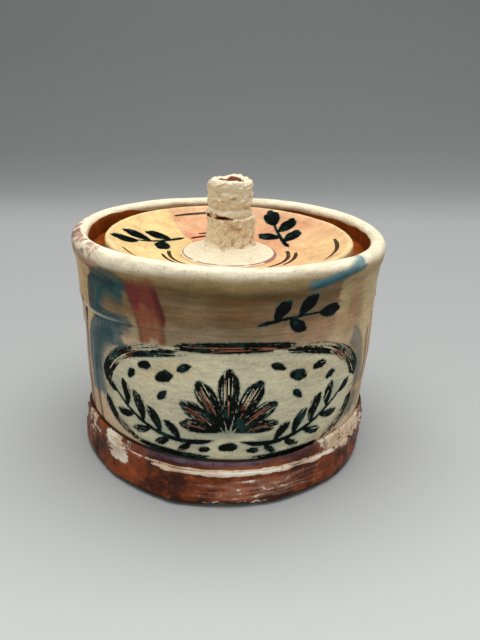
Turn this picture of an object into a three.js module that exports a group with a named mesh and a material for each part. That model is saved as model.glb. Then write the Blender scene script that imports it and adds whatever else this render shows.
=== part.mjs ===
// A lidded earthenware jar, hand built from slabs and coils.
// The pot is a thick foot slab, a luting coil smeared into the corner above it, a lower wall, an upper
// collar that laps over the wall with a ridge, and a gallery ledge inside the collar. The sunk lid is
// a shallow dish whose shoulder drops into the gallery, with a mounded pad and a two-part knob on it.
// Units are millimetres, +Z is up, and the origin is the centre of the foot's flat underside.
import * as THREE from 'three';

// Driving dimensions of the pot
const RIM_RADIUS = 57.5; // outside of the rolled lip
const RIM_HEIGHT = 84.5; // top of the lip above the table
const LIP_THICKNESS = 5.9;
const COLLAR_FLARE = 1.0; // how far the lip stands out beyond the collar below it
const COLLAR_TAPER = 0.7; // how much the collar narrows down to its ridge
const LIP_SPRING = 5.0; // height over which the collar curves out into the lip
const RIDGE_STEP = 1.1; // how far the collar laps out over the lower wall
const RIDGE_BEVEL = 0.3; // worn edge of the ridge
const SCARF_RISE = 4.2; // the lapped joint climbs this far through the wall
const SCARF_CLEARANCE = 1.9; // and ends this far below the gallery
const WALL_THICKNESS = 5.0;
const WALL_TAPER = 1.5; // how much the lower wall narrows to its waist at the foot
const WAIST_HEIGHT = 4.5; // waist of the wall above the foot slab
const BELLY_BEND = 6.0; // how sharply the wall bends in below its belly
const FOOT_OVERHANG = 2.3; // how far the foot slab stands out beyond the wall's foot
const FOOT_TAPER = 0.7; // the slab's cut side leans in this far to the table
const FOOT_THICKNESS = 13.8; // slab seen as the brown band at the base
const FLOOR_DROP = 3.8; // how far the floor inside is thumbed down
const FOOT_EDGE = 1.6; // worn round lower edge of the slab
const FOOT_ARRIS = 0.7; // sharper upper edge
const FLOOR_COVE = 3.0; // round corner of the floor
const COIL_HEIGHT = 3.2; // luting coil above the slab
const COIL_WIDTH = 1.3;
const COIL_TIP = 0.3; // thickness of the smeared slope where it dies out

// Driving dimensions of the gallery and the lid
const LEDGE_DROP = 7.3; // flat of the gallery below the top of the lip
const LEDGE_WIDTH = 9.8;
const LEDGE_DEPTH = 6.6; // at the wall
const LEDGE_NOSE = 3.4; // at its inner edge
const LEDGE_ROUND = 0.7;
const LID_MARGIN = 5.4; // room round the lid's edge inside the collar
const LID_EDGE_THICKNESS = 5.0;
const LID_EDGE_ROUND = 1.5;
const LID_THICKNESS = 5.0; // of the dish
const DISH_DEPTH = 7.7; // from the lid's edge down to its floor
const DISH_FLOOR_MARGIN = 1.0; // flat floor showing round the knob's pad
const DISH_SAG = 1.6; // how far the slope of the dish hangs below a straight line
const SHOULDER_HEIGHT = 1.2; // the turned step that drops into the gallery

// Driving dimensions of the knob
const PAD_RADIUS = 18.2;
const PAD_EDGE = 0.7;
const PAD_SHELF = 0.6; // the pad's top beyond the stem
const PAD_HEIGHT = 4.8;
const STEM_RADIUS = 8.9;
const STEM_WAIST = 0.5; // how far the stem is pinched in at half its height
const STEM_ROUND = 1.2;
const STEM_HEIGHT = 10.0;
const CAP_RADIUS = 7.9;
const CAP_ROUND = 2.0; // shoulder round the top
const CAP_HEIGHT = 13.2;
const CAP_LIP_FLARE = 0.6; // flared lower lip of the cap
const CAP_LIP_HEIGHT = 3.2;
const CAP_NECK_DEPTH = 0.5; // groove over the flared lip
const CAP_NECK_RISE = 1.4; // from the groove to the full drum
const CAP_LIP_BEAD = 0.4; // round of the flared lip
const CAP_WALL = 3.6; // round the thumbed hollow
const CAP_HOLLOW_DEPTH = 3.4;
const CAP_HOLLOW_ROUND = 1.0; // round the hollow's floor
const SEAM_DEPTH = 1.5; // the cap isn't stuck to the stem this far in from its side
const SEAM_OPENING = 0.35;
const CRACK_OPENING = 0.75; // extra height where the seam has cracked open

// Clearances
const JOINT_GAP = 0.3; // slip joint between two luted pieces
const SHOULDER_CLEARANCE = 1.3; // lid's shoulder inside the gallery

// Unevenness of hand work
const OUT_OF_ROUND = 0.45;
const RIM_WAVE = 0.35;
const FRONT = -Math.PI / 2;
const FRONT_RISE = 2.2; // the lip stands higher at the front
const FRONT_RISE_SPREAD = 1.6;
const RIDGE_DIP = 3.2; // the lapped joint runs lower round the left side
const RIDGE_DIP_ANGLE = -2.97; // the left, in radians from +X
const RIDGE_DIP_SPREAD = 1.3;
const COIL_SWELL = 2.6; // more slip was smeared up the wall at the right
const COIL_SWELL_ANGLE = -0.6;
const COIL_SWELL_SPREAD = 0.7;
const FOOT_WANDER = 0.75;
const FOOT_SPLAY = 1.6; // the slab spreads out to the table at the front
const FOOT_SPLAY_SPREAD = 1.5;
const LID_OUT_OF_ROUND = 0.3;
const KNOB_PADDLING = 0.28;
const KNOB_LIP_WAVE = 0.45;
const STEM_SHIFT = 0.4; // the stem stands a little to the right
const CAP_SHIFT = -0.2; // and the cap leans back to the left

// How finely the turned pieces are faceted
const POT_SEGMENTS = 64;
const LID_SEGMENTS = 64;
const KNOB_SEGMENTS = 40;
const CURVE_STEPS = 4;

// Sizes and heights worked out from the driving dimensions
const collarRadius = RIM_RADIUS - COLLAR_FLARE;
const ridgeRadius = collarRadius - COLLAR_TAPER;
const wallRadius = ridgeRadius - RIDGE_STEP;
const wallFootRadius = wallRadius - WALL_TAPER;
const wallInnerRadius = wallRadius - WALL_THICKNESS;
const wallFootInnerRadius = wallFootRadius - WALL_THICKNESS;
const footRadius = wallFootRadius + FOOT_OVERHANG;
const waistHeight = FOOT_THICKNESS + WAIST_HEIGHT;
const collarInnerRadius = RIM_RADIUS - LIP_THICKNESS;
const ledgeOuterRadius = collarInnerRadius - JOINT_GAP;
const ledgeInnerRadius = ledgeOuterRadius - LEDGE_WIDTH;
const ledgeTop = RIM_HEIGHT - LEDGE_DROP;
const ledgeBottom = ledgeTop - LEDGE_DEPTH;
const scarfTop = ledgeBottom - SCARF_CLEARANCE;
const ridgeHeight = scarfTop - SCARF_RISE; // lower edge of the collar, seen as a ridge round the pot
const lidRadius = collarInnerRadius - LID_MARGIN;
const lidTop = ledgeTop + LID_EDGE_THICKNESS;
const dishFloorRadius = PAD_RADIUS + DISH_FLOOR_MARGIN;
const dishFloor = lidTop - DISH_DEPTH;
const padTop = dishFloor + PAD_HEIGHT;
const stemTop = padTop + STEM_HEIGHT;
const capTop = stemTop + CAP_HEIGHT;
const capLipRadius = CAP_RADIUS + CAP_LIP_FLARE;
const capHollowRadius = CAP_RADIUS - CAP_WALL;
const capSeatRadius = CAP_RADIUS - SEAM_DEPTH;

const slip = { color: 0xe6d8b4, roughness: 0.45, metalness: 0 };
const terracotta = { color: 0x8a4a24, roughness: 0.35, metalness: 0 };
const wash = { color: 0xb59a6c, roughness: 0.4, metalness: 0 };
const peach = { color: 0xe0b07c, roughness: 0.45, metalness: 0 };

// A smooth step from 0 at low to 1 at high.
function ease(value, low, high) {
  return THREE.MathUtils.smoothstep(value, low, high);
}

// A bump of height 1 round one angle, which dies out at the spread on each side.
function bumpAt(angle, centre, spread) {
  const away = Math.abs(THREE.MathUtils.euclideanModulo(angle - centre + Math.PI, 2 * Math.PI) - Math.PI);
  return 1 - ease(away, 0.2 * spread, spread);
}

// Turns a profile of radius and height about +Z, then moves each point by the piece's own hand work.
// The profile runs up its outside and down its inside, and ends on the axis or where it began.
function turned(profile, segments, handWork) {
  const geometry = new THREE.LatheGeometry(profile.getPoints(CURVE_STEPS), segments);
  geometry.rotateX(Math.PI / 2);
  const position = geometry.getAttribute('position');
  for (let i = 0; i < position.count; i++) {
    const x = position.getX(i);
    const y = position.getY(i);
    const radius = Math.hypot(x, y);
    const height = position.getZ(i);
    const angle = Math.atan2(y, x);
    const moved = handWork(angle, radius, height);
    const scale = radius > 0 ? moved.radius / radius : 1;
    position.setXYZ(i, x * scale, y * scale, moved.height);
  }
  geometry.computeVertexNormals();
  return geometry;
}

// The pot is a little oval, more so towards the rim, its lip rises and falls, and the lapped joint
// runs lower on the left. Every piece of the pot follows this one shape, so they stay nested.
function potShape(angle, radius, height) {
  const upward = height / RIM_HEIGHT;
  const oval = Math.cos(2 * angle + 0.6) * upward + 0.4 * Math.cos(3 * angle - 1.1);
  const inner = ease(radius, 0, wallFootInnerRadius);
  const wave = RIM_WAVE * Math.cos(2 * angle - 0.8) + FRONT_RISE * bumpAt(angle, FRONT, FRONT_RISE_SPREAD);
  const lip = ease(height, ledgeTop + 1, RIM_HEIGHT) * wave;
  const nearRidge = ease(height, waistHeight, ridgeHeight) * (1 - ease(height, scarfTop, ledgeBottom));
  const dip = RIDGE_DIP * nearRidge * bumpAt(angle, RIDGE_DIP_ANGLE, RIDGE_DIP_SPREAD);
  return { radius: radius + OUT_OF_ROUND * oval * inner, height: height + lip - dip };
}

// The slab's cut edge wanders in and out beyond the wall that stands on it, and splays at the front.
function footShape(angle, radius, height) {
  const moved = potShape(angle, radius, height);
  const outer = ease(radius, wallFootRadius, footRadius);
  const wander = Math.sin(3 * angle + 0.5) + 0.6 * Math.sin(5 * angle - 1.2) + 0.35 * Math.sin(9 * angle);
  const low = 1 - ease(height, 0, FOOT_THICKNESS - FOOT_EDGE);
  const splay = FOOT_SPLAY * outer * low * bumpAt(angle, FRONT, FOOT_SPLAY_SPREAD);
  return { radius: moved.radius + (FOOT_WANDER * outer * wander) / 2 + splay, height: moved.height };
}

// The coil's slope is smeared higher up the wall on the right.
function coilShape(angle, radius, height) {
  const moved = potShape(angle, radius, height);
  const upward = ease(height, FOOT_THICKNESS, FOOT_THICKNESS + COIL_HEIGHT);
  const swell = COIL_SWELL * upward * bumpAt(angle, COIL_SWELL_ANGLE, COIL_SWELL_SPREAD);
  return { radius: moved.radius, height: moved.height + swell };
}

function lidShape(angle, radius, height) {
  const outer = ease(radius, PAD_RADIUS, lidRadius);
  return { radius: radius + LID_OUT_OF_ROUND * outer * Math.cos(2 * angle + 1.9), height };
}

// The knob's sides were paddled into many shallow flats.
function paddled(angle, radius, from) {
  const side = ease(radius, from, from + 1);
  return radius + KNOB_PADDLING * side * (0.6 * Math.cos(7 * angle + 1) + 0.4 * Math.cos(4 * angle));
}

function stemShape(angle, radius, height) {
  return { radius: paddled(angle, radius, capSeatRadius), height };
}

// The cap's lip is uneven on top, and its seam gapes at the front and at the left.
function capShape(angle, radius, height) {
  const lip = ease(height, capTop - CAP_HOLLOW_DEPTH, capTop) * KNOB_LIP_WAVE;
  const uneven = Math.cos(2 * angle - 2.4) + 0.5 * Math.cos(5 * angle);
  const shift = lip * uneven * ease(radius, 0, capHollowRadius);
  const nearSeam = 1 - ease(height, stemTop, stemTop + CAP_LIP_HEIGHT / 2);
  const open = bumpAt(angle, -1.9, 0.55) + bumpAt(angle, Math.PI, 0.3);
  const crack = CRACK_OPENING * open * nearSeam * ease(radius, capSeatRadius, capLipRadius);
  return { radius: paddled(angle, radius, capSeatRadius), height: height + shift + crack };
}

function piece(name, geometry, finish) {
  const mesh = new THREE.Mesh(geometry, new THREE.MeshStandardMaterial(finish));
  mesh.name = name;
  return mesh;
}

// Flat slab with a worn edge. The wall stands on its shoulder, and the floor inside is thumbed down.
function footSlab() {
  const shoulder = wallFootInnerRadius - JOINT_GAP;
  const underside = footRadius - FOOT_TAPER;
  const floor = FOOT_THICKNESS - FLOOR_DROP;
  const profile = new THREE.Path()
    .moveTo(0, 0)
    .lineTo(underside - FOOT_EDGE, 0)
    .quadraticCurveTo(underside - 0.2 * FOOT_EDGE, 0, underside, FOOT_EDGE)
    .lineTo(footRadius, FOOT_THICKNESS - FOOT_ARRIS)
    .quadraticCurveTo(footRadius, FOOT_THICKNESS, footRadius - FOOT_ARRIS, FOOT_THICKNESS)
    .lineTo(shoulder, FOOT_THICKNESS)
    .quadraticCurveTo(shoulder, floor, shoulder - FLOOR_COVE, floor)
    .lineTo(0, floor);
  return piece('foot_slab', turned(profile, POT_SEGMENTS, footShape), terracotta);
}

// A roll of clay smeared to a slope in the corner between the wall and the slab.
function lutingCoil() {
  const inner = wallFootRadius + JOINT_GAP;
  const outer = inner + COIL_WIDTH;
  const top = FOOT_THICKNESS + COIL_HEIGHT;
  const profile = new THREE.Path()
    .moveTo(inner, FOOT_THICKNESS)
    .lineTo(outer, FOOT_THICKNESS)
    .quadraticCurveTo(outer - COIL_TIP / 3, FOOT_THICKNESS + 0.7 * COIL_HEIGHT, inner + COIL_TIP, top)
    .lineTo(inner, top - COIL_TIP)
    .lineTo(inner, FOOT_THICKNESS);
  return piece('luting_coil', turned(profile, POT_SEGMENTS, coilShape), slip);
}

// The lower wall narrows to a waist above the foot. Its top edge is cut on a slope for the collar.
function lowerWall() {
  const belly = (waistHeight + ridgeHeight) / 2;
  const profile = new THREE.Path()
    .moveTo(wallFootInnerRadius, FOOT_THICKNESS)
    .lineTo(wallFootRadius, FOOT_THICKNESS)
    .lineTo(wallFootRadius, waistHeight)
    .quadraticCurveTo(wallFootRadius + 0.6 * WALL_TAPER, belly - BELLY_BEND, wallRadius, belly)
    .lineTo(wallRadius, ridgeHeight)
    .lineTo(wallInnerRadius, scarfTop)
    .lineTo(wallInnerRadius, belly)
    .quadraticCurveTo(wallFootInnerRadius + 0.6 * WALL_TAPER, belly - BELLY_BEND, wallFootInnerRadius, waistHeight)
    .lineTo(wallFootInnerRadius, FOOT_THICKNESS);
  return piece('lower_wall', turned(profile, POT_SEGMENTS, potShape), wash);
}

// The collar laps over the lower wall, flares a little and ends in the rolled lip.
function collar() {
  const lap = JOINT_GAP * 1.3;
  const lipHalf = LIP_THICKNESS / 2;
  const lipBase = RIM_HEIGHT - lipHalf;
  const profile = new THREE.Path()
    .moveTo(wallInnerRadius, scarfTop + lap)
    .lineTo(wallRadius, ridgeHeight + lap)
    .lineTo(wallRadius + JOINT_GAP, ridgeHeight)
    .lineTo(ridgeRadius - RIDGE_BEVEL, ridgeHeight)
    .lineTo(ridgeRadius, ridgeHeight + 2.5 * RIDGE_BEVEL)
    .lineTo(collarRadius, lipBase - LIP_SPRING)
    .quadraticCurveTo(RIM_RADIUS, lipBase - 0.6 * LIP_SPRING, RIM_RADIUS, lipBase)
    .absarc(RIM_RADIUS - lipHalf, lipBase, lipHalf, 0, Math.PI)
    .lineTo(collarInnerRadius, ledgeBottom)
    .lineTo(wallInnerRadius, scarfTop + lap);
  return piece('collar', turned(profile, POT_SEGMENTS, potShape), wash);
}

// The gallery: a flat-topped ledge of clay inside the collar, which carries the lid.
function galleryLedge() {
  const nose = ledgeTop - LEDGE_NOSE;
  const profile = new THREE.Path()
    .moveTo(ledgeOuterRadius, ledgeBottom)
    .lineTo(ledgeOuterRadius, ledgeTop)
    .lineTo(ledgeInnerRadius + LEDGE_ROUND, ledgeTop)
    .quadraticCurveTo(ledgeInnerRadius, ledgeTop, ledgeInnerRadius, ledgeTop - LEDGE_ROUND)
    .lineTo(ledgeInnerRadius, nose)
    .quadraticCurveTo(ledgeInnerRadius + 1, nose - 1, ledgeOuterRadius, ledgeBottom);
  return piece('gallery_ledge', turned(profile, POT_SEGMENTS, potShape), terracotta);
}

// The lid: a shallow dish. Its edge rests on the gallery and its turned shoulder keeps it centred.
function lidDish() {
  const shoulder = ledgeInnerRadius - SHOULDER_CLEARANCE;
  const underside = dishFloor - LID_THICKNESS;
  const round = LID_EDGE_ROUND;
  const profile = new THREE.Path()
    .moveTo(0, underside)
    .lineTo(dishFloorRadius - 2 * DISH_FLOOR_MARGIN, underside)
    .quadraticCurveTo((shoulder + dishFloorRadius) / 2, underside + DISH_SAG, shoulder, ledgeTop - SHOULDER_HEIGHT)
    .lineTo(shoulder, ledgeTop)
    .lineTo(lidRadius - round, ledgeTop)
    .quadraticCurveTo(lidRadius, ledgeTop, lidRadius, ledgeTop + round)
    .lineTo(lidRadius, lidTop - round)
    .quadraticCurveTo(lidRadius, lidTop, lidRadius - round, lidTop)
    .quadraticCurveTo((lidRadius + dishFloorRadius) / 2, dishFloor + DISH_SAG, dishFloorRadius, dishFloor)
    .lineTo(0, dishFloor);
  return piece('lid_dish', turned(profile, LID_SEGMENTS, lidShape), peach);
}

// The pad mounds up from a thin edge to the foot of the knob.
function knobPad() {
  const seat = STEM_RADIUS + PAD_SHELF;
  const profile = new THREE.Path()
    .moveTo(0, dishFloor)
    .lineTo(PAD_RADIUS, dishFloor)
    .lineTo(PAD_RADIUS - PAD_EDGE / 2, dishFloor + PAD_EDGE)
    .quadraticCurveTo((PAD_RADIUS + seat) / 2 - PAD_EDGE, dishFloor + 0.45 * PAD_HEIGHT, seat, padTop - PAD_SHELF)
    .lineTo(seat - PAD_SHELF, padTop)
    .lineTo(0, padTop);
  return piece('knob_pad', turned(profile, KNOB_SEGMENTS, lidShape), slip);
}

// The knob's lower drum, slightly waisted.
function knobStem() {
  const profile = new THREE.Path()
    .moveTo(0, padTop)
    .lineTo(STEM_RADIUS, padTop)
    .quadraticCurveTo(STEM_RADIUS - STEM_WAIST, padTop + STEM_HEIGHT / 2, STEM_RADIUS, stemTop - STEM_ROUND)
    .quadraticCurveTo(STEM_RADIUS, stemTop, STEM_RADIUS - STEM_ROUND, stemTop)
    .lineTo(0, stemTop);
  const stem = piece('knob_stem', turned(profile, KNOB_SEGMENTS, stemShape), slip);
  stem.position.x = STEM_SHIFT;
  return stem;
}

// The knob's upper drum: a flared lower lip, a groove, and a thumbed hollow in the top.
function knobCap() {
  const seam = stemTop + SEAM_OPENING;
  const neck = stemTop + CAP_LIP_HEIGHT;
  const lipTop = (CAP_RADIUS + capHollowRadius) / 2;
  const hollow = capTop - CAP_HOLLOW_DEPTH;
  const profile = new THREE.Path()
    .moveTo(0, stemTop)
    .lineTo(capSeatRadius, stemTop)
    .lineTo(capSeatRadius + SEAM_OPENING / 2, seam)
    .lineTo(capLipRadius - CAP_LIP_BEAD, seam)
    .quadraticCurveTo(capLipRadius + CAP_LIP_BEAD, (seam + neck) / 2, CAP_RADIUS - CAP_NECK_DEPTH, neck)
    .lineTo(CAP_RADIUS, neck + CAP_NECK_RISE)
    .lineTo(CAP_RADIUS, capTop - CAP_ROUND)
    .quadraticCurveTo(CAP_RADIUS, capTop, lipTop, capTop)
    .quadraticCurveTo(capHollowRadius, capTop, capHollowRadius - CAP_HOLLOW_ROUND / 2, hollow + CAP_HOLLOW_ROUND)
    .lineTo(capHollowRadius - 1.5 * CAP_HOLLOW_ROUND, hollow)
    .lineTo(0, hollow);
  const cap = piece('knob_cap', turned(profile, KNOB_SEGMENTS, capShape), slip);
  cap.position.x = CAP_SHIFT;
  return cap;
}

const pot = new THREE.Group();
pot.add(footSlab(), lutingCoil(), lowerWall(), collar(), galleryLedge());

const lid = new THREE.Group();
lid.add(lidDish(), knobPad(), knobStem(), knobCap());

const jar = new THREE.Group();
jar.add(pot, lid);

export default jar;
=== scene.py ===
# A small lidded jar of red earthenware, hand built from a slab, a coil, a wall and a collar, brushed
# with cream slip and coloured washes, painted in black and glazed clear. Lengths are in millimetres
# until a mesh is made, and angles run from +X towards +Y.
import math
import bmesh
import bpy
import numpy as np
from mathutils import Matrix


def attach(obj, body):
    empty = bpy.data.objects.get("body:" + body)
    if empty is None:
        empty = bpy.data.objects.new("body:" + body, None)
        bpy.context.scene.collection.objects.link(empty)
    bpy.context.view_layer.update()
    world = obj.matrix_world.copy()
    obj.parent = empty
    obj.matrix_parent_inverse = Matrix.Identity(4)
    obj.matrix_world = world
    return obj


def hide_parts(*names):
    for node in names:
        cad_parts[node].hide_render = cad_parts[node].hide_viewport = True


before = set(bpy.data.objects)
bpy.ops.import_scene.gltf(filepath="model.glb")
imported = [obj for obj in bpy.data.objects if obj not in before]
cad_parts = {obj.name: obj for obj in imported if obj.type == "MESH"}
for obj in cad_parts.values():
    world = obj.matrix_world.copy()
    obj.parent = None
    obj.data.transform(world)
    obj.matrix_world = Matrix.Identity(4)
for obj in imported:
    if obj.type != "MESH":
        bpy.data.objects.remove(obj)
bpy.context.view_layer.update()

# The foot slab: a thick round slab of red clay, cut out by hand with a wandering edge and left bare of
# paint, so its glaze is a glossy red brown. Cream slip ran over its upper edge and dripped down; its
# brightest cream stands in as a painted highlight, and its bottom edge is darkened with painted shade.
FOOT_RADIUS, FOOT_TOP, FOOT_EDGE, POT_FLOOR = 55.5, 13.8, 0.7, 10
WALL_FOOT, WALL_FOOT_INSIDE = 53.2, 48.2
WAIST, RIDGE, SCARF_TOP = 18.3, 64.5, 68.7
LEDGE_BOTTOM, LEDGE_TOP, RIM_HEIGHT = 70.6, 77.2, 84.5
FRONT = -math.pi / 2
TURNED_PARTS = 16


def profile(start, *moves):
    """Points of radius and height. A move is its spacing, a control point if it is curved, and its end."""
    points = [np.array(start, float)]
    for spacing, *through in moves:
        begin, end = points[-1], np.array(through[-1], float)
        control = np.array(through[0], float) if len(through) == 2 else (begin + end) / 2
        count = max(1, math.ceil(np.linalg.norm(end - begin) / spacing))
        for t in np.arange(1, count + 1) / count:
            points.append((1 - t) ** 2 * begin + 2 * t * (1 - t) * control + t**2 * end)
    return points


def object_of(shape, name):
    """Puts a finished shape in the scene, as an object that renders smooth."""
    mesh = bpy.data.meshes.new(name)
    shape.to_mesh(mesh)
    shape.free()
    mesh.shade_smooth()
    piece = bpy.data.objects.new(name, mesh)
    bpy.context.collection.objects.link(piece)
    return piece


def thrown(name, points, steps=640):
    """A closed skin of clay, turned from its profile about +Z: one part first, then round in copies."""
    skin = bmesh.new()
    verts = [skin.verts.new((radius / 1000, 0, height / 1000)) for radius, height in points]
    edges = [skin.edges.new(pair) for pair in zip(verts, verts[1:])]
    upright = {"cent": (0, 0, 0), "axis": (0, 0, 1)}
    one_part = 2 * math.pi / TURNED_PARTS
    bmesh.ops.spin(skin, geom=verts + edges, angle=one_part, steps=steps // TURNED_PARTS, **upright)
    bmesh.ops.spin(skin, geom=skin.verts[:] + skin.edges[:] + skin.faces[:], angle=2 * math.pi - one_part,
                   steps=TURNED_PARTS - 1, use_duplicate=True, **upright)
    bmesh.ops.remove_doubles(skin, verts=skin.verts, dist=1e-6)
    bmesh.ops.recalc_face_normals(skin, faces=skin.faces)
    return object_of(skin, name + "_clay")


def ease(value, low, high):
    """A smooth climb from 0 at low to 1 at high."""
    t = np.clip((value - low) / (high - low), 0, 1)
    return t * t * (3 - 2 * t)


def bump_at(angle, centre, spread):
    """A soft bump round the jar, 1 at its centre and 0 past its spread, both in radians."""
    away = np.abs((angle - centre + math.pi) % (2 * math.pi) - math.pi)
    return 1 - ease(away, 0.2 * spread, spread)


def at(angle, degrees_from_front, spread):
    """The same bump with its centre and spread in degrees, counted to the right from the front."""
    return bump_at(angle, FRONT + math.radians(degrees_from_front), math.radians(spread))


LATTICE = np.random.default_rng(11).random((48, 48, 48))


def lumps(place, size, seed=0):
    """Smooth noise from -1 to 1, with lumps of that size in mm, or of three sizes along x, y and z."""
    cell = place / np.array(size, float) + 480.0 + seed * 7.31
    low = np.floor(cell).astype(int)
    part = cell - low
    part = part * part * (3 - 2 * part)
    total = np.zeros(len(place))
    for corner in np.ndindex(2, 2, 2):
        weight = np.prod(np.where(corner, part, 1 - part), axis=1)
        total += weight * LATTICE[tuple(((low + corner) % 48).T)]
    return 2 * total - 1


def read(mesh, layer="co"):
    """The places of a mesh's points, or their normals."""
    values = np.empty(len(mesh.vertices) * 3)
    mesh.vertices.foreach_get(layer, values)
    return values.reshape(-1, 3)


def work(piece, hand_work, relief, shift=0.0):
    """Moves each point by the hand work, then along its normal by the relief, then sideways by the shift.
    Gives the angles, radii and heights from before it, and the places after it."""
    mesh = piece.data
    place = read(mesh) * 1000
    radius, angle = np.hypot(place[:, 0], place[:, 1]), np.arctan2(place[:, 1], place[:, 0])
    height = place[:, 2]
    new_radius, new_height = hand_work(angle, radius, height)
    place = np.stack((new_radius * np.cos(angle), new_radius * np.sin(angle), new_height), axis=1)
    mesh.vertices.foreach_set("co", place.ravel() / 1000)
    mesh.update()
    place = place + read(mesh, "normal") * relief(angle, radius, height, place)[:, None] + (shift, 0, 0)
    mesh.vertices.foreach_set("co", place.ravel() / 1000)
    mesh.update()
    return angle, radius, height, place


def keep(piece, name, values):
    """Keeps a number, or three, at each point of the mesh for the piece's material."""
    kind, field = ("FLOAT", "value") if values.ndim == 1 else ("FLOAT_VECTOR", "vector")
    piece.data.attributes.new(name, kind, "POINT").data.foreach_set(field, values.astype(np.float32).ravel())


def pot_work(angle, radius, height):
    """The pot is a little oval and swells at its sides, its lip is highest in front, and its joint dips."""
    oval = np.cos(2 * angle + 0.6) * height / RIM_HEIGHT + 0.4 * np.cos(3 * angle - 1.1)
    lip = 0.35 * np.cos(2 * angle - 0.8) + 2.2 * bump_at(angle, FRONT, 1.6)
    near_joint = ease(height, WAIST, RIDGE) * (1 - ease(height, SCARF_TOP, LEDGE_BOTTOM))
    dip = 3.2 * near_joint * bump_at(angle, -2.97, 1.3)
    swell = (1.1 * at(angle, 86, 68) * (1 - ease(height, 65, 73))
             + 0.7 * at(angle, -88, 42) * (1 - ease(height, 30, 46))
             + 1.1 * at(angle, -94, 28) * ease(height, 51, 55) * (1 - ease(height, 64, 69)))
    new_height = height + lip * ease(height, LEDGE_TOP + 1, RIM_HEIGHT) - dip
    return radius + (0.45 * oval + swell) * ease(radius, 0, WALL_FOOT_INSIDE), new_height


def foot_work(angle, radius, height):
    """The slab's cut edge wanders, splays at the front and left, and lifts a little off the table."""
    radius_of_pot, new_height = pot_work(angle, radius, height)
    wander = np.sin(3 * angle + 0.5) + 0.6 * np.sin(5 * angle - 1.2) + 0.35 * np.sin(9 * angle)
    uneven = 0.95 + 0.3 * np.sin(4 * angle + 1) + 0.2 * np.sin(11 * angle) + 0.12 * np.sin(23 * angle + 2)
    lifted = uneven * ease(radius, 50.5, 54.5) * (1 - ease(height, 0.2, 4.5))
    splay = (1.9 * bump_at(angle, FRONT, 1.5) + 1.4 * at(angle, -66, 42)) * (1 - ease(height, 0, 12.2))
    splay += 0.7 * at(angle, -84, 32) * (1 - ease(height, 6, 13))
    tuck = 1.3 * at(angle, -114, 46) * ease(height, 2, 12)
    edge = ease(radius, WALL_FOOT - 1, 54.8)
    return radius_of_pot + edge * (0.375 * wander + splay - tuck), new_height + lifted


def foot_relief(angle, radius, height, place):
    """Knife facets and dents on the cut side, and a worn upper edge."""
    side = ease(radius, 50, 54) * ease(height, 0.0, 1.5)
    knife = 0.26 * lumps(place, (9, 9, 2.4), 1) + 0.3 * lumps(place, 6, 2) + 0.14 * lumps(place, 1.8, 3)
    facets = 0.36 * np.abs(lumps(place, (5, 5, 7), 10)) + 0.07 * lumps(place, 0.9, 11)
    worn = ease(height, 9, 13.5) * (0.5 * lumps(place, 3.2, 4) + 0.4 * lumps(place, 8, 12))
    return side * (knife + worn + facets - 0.3)


foot_slab = thrown("foot_slab", profile(
    (0, 0), (9, (47, 0)), (0.8, (WALL_FOOT, 0)), (0.35, (54.5, 0), (54.8, 1.6)),
    (0.35, (FOOT_RADIUS, FOOT_TOP - FOOT_EDGE)),
    (0.2, (FOOT_RADIUS, FOOT_TOP), (FOOT_RADIUS - FOOT_EDGE, FOOT_TOP)), (0.5, (52.0, FOOT_TOP)),
    (4, (47.9, FOOT_TOP)), (1, (47.9, POT_FLOOR), (44.9, POT_FLOOR)), (9, (0, POT_FLOOR))))
angle, radius, height, place = work(foot_slab, foot_work, foot_relief)


def drips(angle):
    """Where two runs of cream slip cross from the coil to the slab, at the left."""
    return at(angle, -67, 10) + at(angle, -45, 13)


# how much cream slip lies on the slab: a broken line on its upper edge, partly a painted highlight,
# drips at the left, patches, and a broken line on the lower front edge, partly painted glints
grit = lumps(place, (1.5, 1.5, 0.9), 18)
edge_slip_and_highlight = 0.42 + 0.26 * lumps(place, (6, 6, 6), 5) + 0.2 * grit + 0.6 * at(angle, 8, 52)
low_slip_and_glints = 0.46 + 0.3 * lumps(place, (4, 4, 1.6), 7) + 0.5 * lumps(place, (0.9, 0.9, 0.6), 20)
wiped = at(angle, 15, 44) * ease(height, 1.5, 4.5) * (1 - ease(height, 9.6, 12.0))
brush_lines = 0.4 * lumps(place, (13, 13, 0.6), 8) + 0.3 * lumps(place, (5, 5, 0.4), 19)
keep(foot_slab, "slip", np.maximum.reduce([
    ease(height, 11.9, 13.1) * edge_slip_and_highlight,
    ease(height, 4.0, 10.5) * drips(angle) * (0.78 + 0.5 * lumps(place, (3, 3, 8), 6) + 0.25 * grit),
    at(angle, 4, 24) * (1 - ease(height, 1.4, 3.8)) * low_slip_and_glints,
    wiped * (0.33 + 0.85 * brush_lines + 0.2 * grit),
    at(angle, 57, 19) * ease(height, 10.0, 13.2) * (0.8 + 0.35 * lumps(place, 3, 8) + 0.2 * grit),
    0.44 * ease(lumps(place, 3, 9), 0.35, 0.9) * ease(height, 2, 9) + 0.1 * grit]))
keep(foot_slab, "veil", wiped * (0.6 + 1.1 * brush_lines + 0.2 * lumps(place, (8, 8, 3), 27)))
# the bottom edge, darkened: painted shade where the slab's rounded underside turns down towards the table
keep(foot_slab, "base_shade", 1 - ease(height + 0.5 * lumps(place, 4, 26), 0.9, 2.8))


def colour(red, green, blue):
    """A colour written in the screen's 0 to 255, as the linear values that materials use."""
    return tuple(c / 12.92 if c <= 0.04045 else ((c + 0.055) / 1.055) ** 2.4
                 for c in (red / 255, green / 255, blue / 255)) + (1,)


class Field:
    """A number or a colour that changes over a surface: the output of a shader node, for plain sums."""

    def __init__(self, socket):
        self.socket, self.tree = socket, socket.id_data

    def __add__(self, other):
        return maths("ADD", self, other)

    def __sub__(self, other):
        return maths("SUBTRACT", self, other)

    def __mul__(self, other):
        return maths("MULTIPLY", self, other)

    def __abs__(self):
        return maths("ABSOLUTE", self, 0.0)


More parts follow.
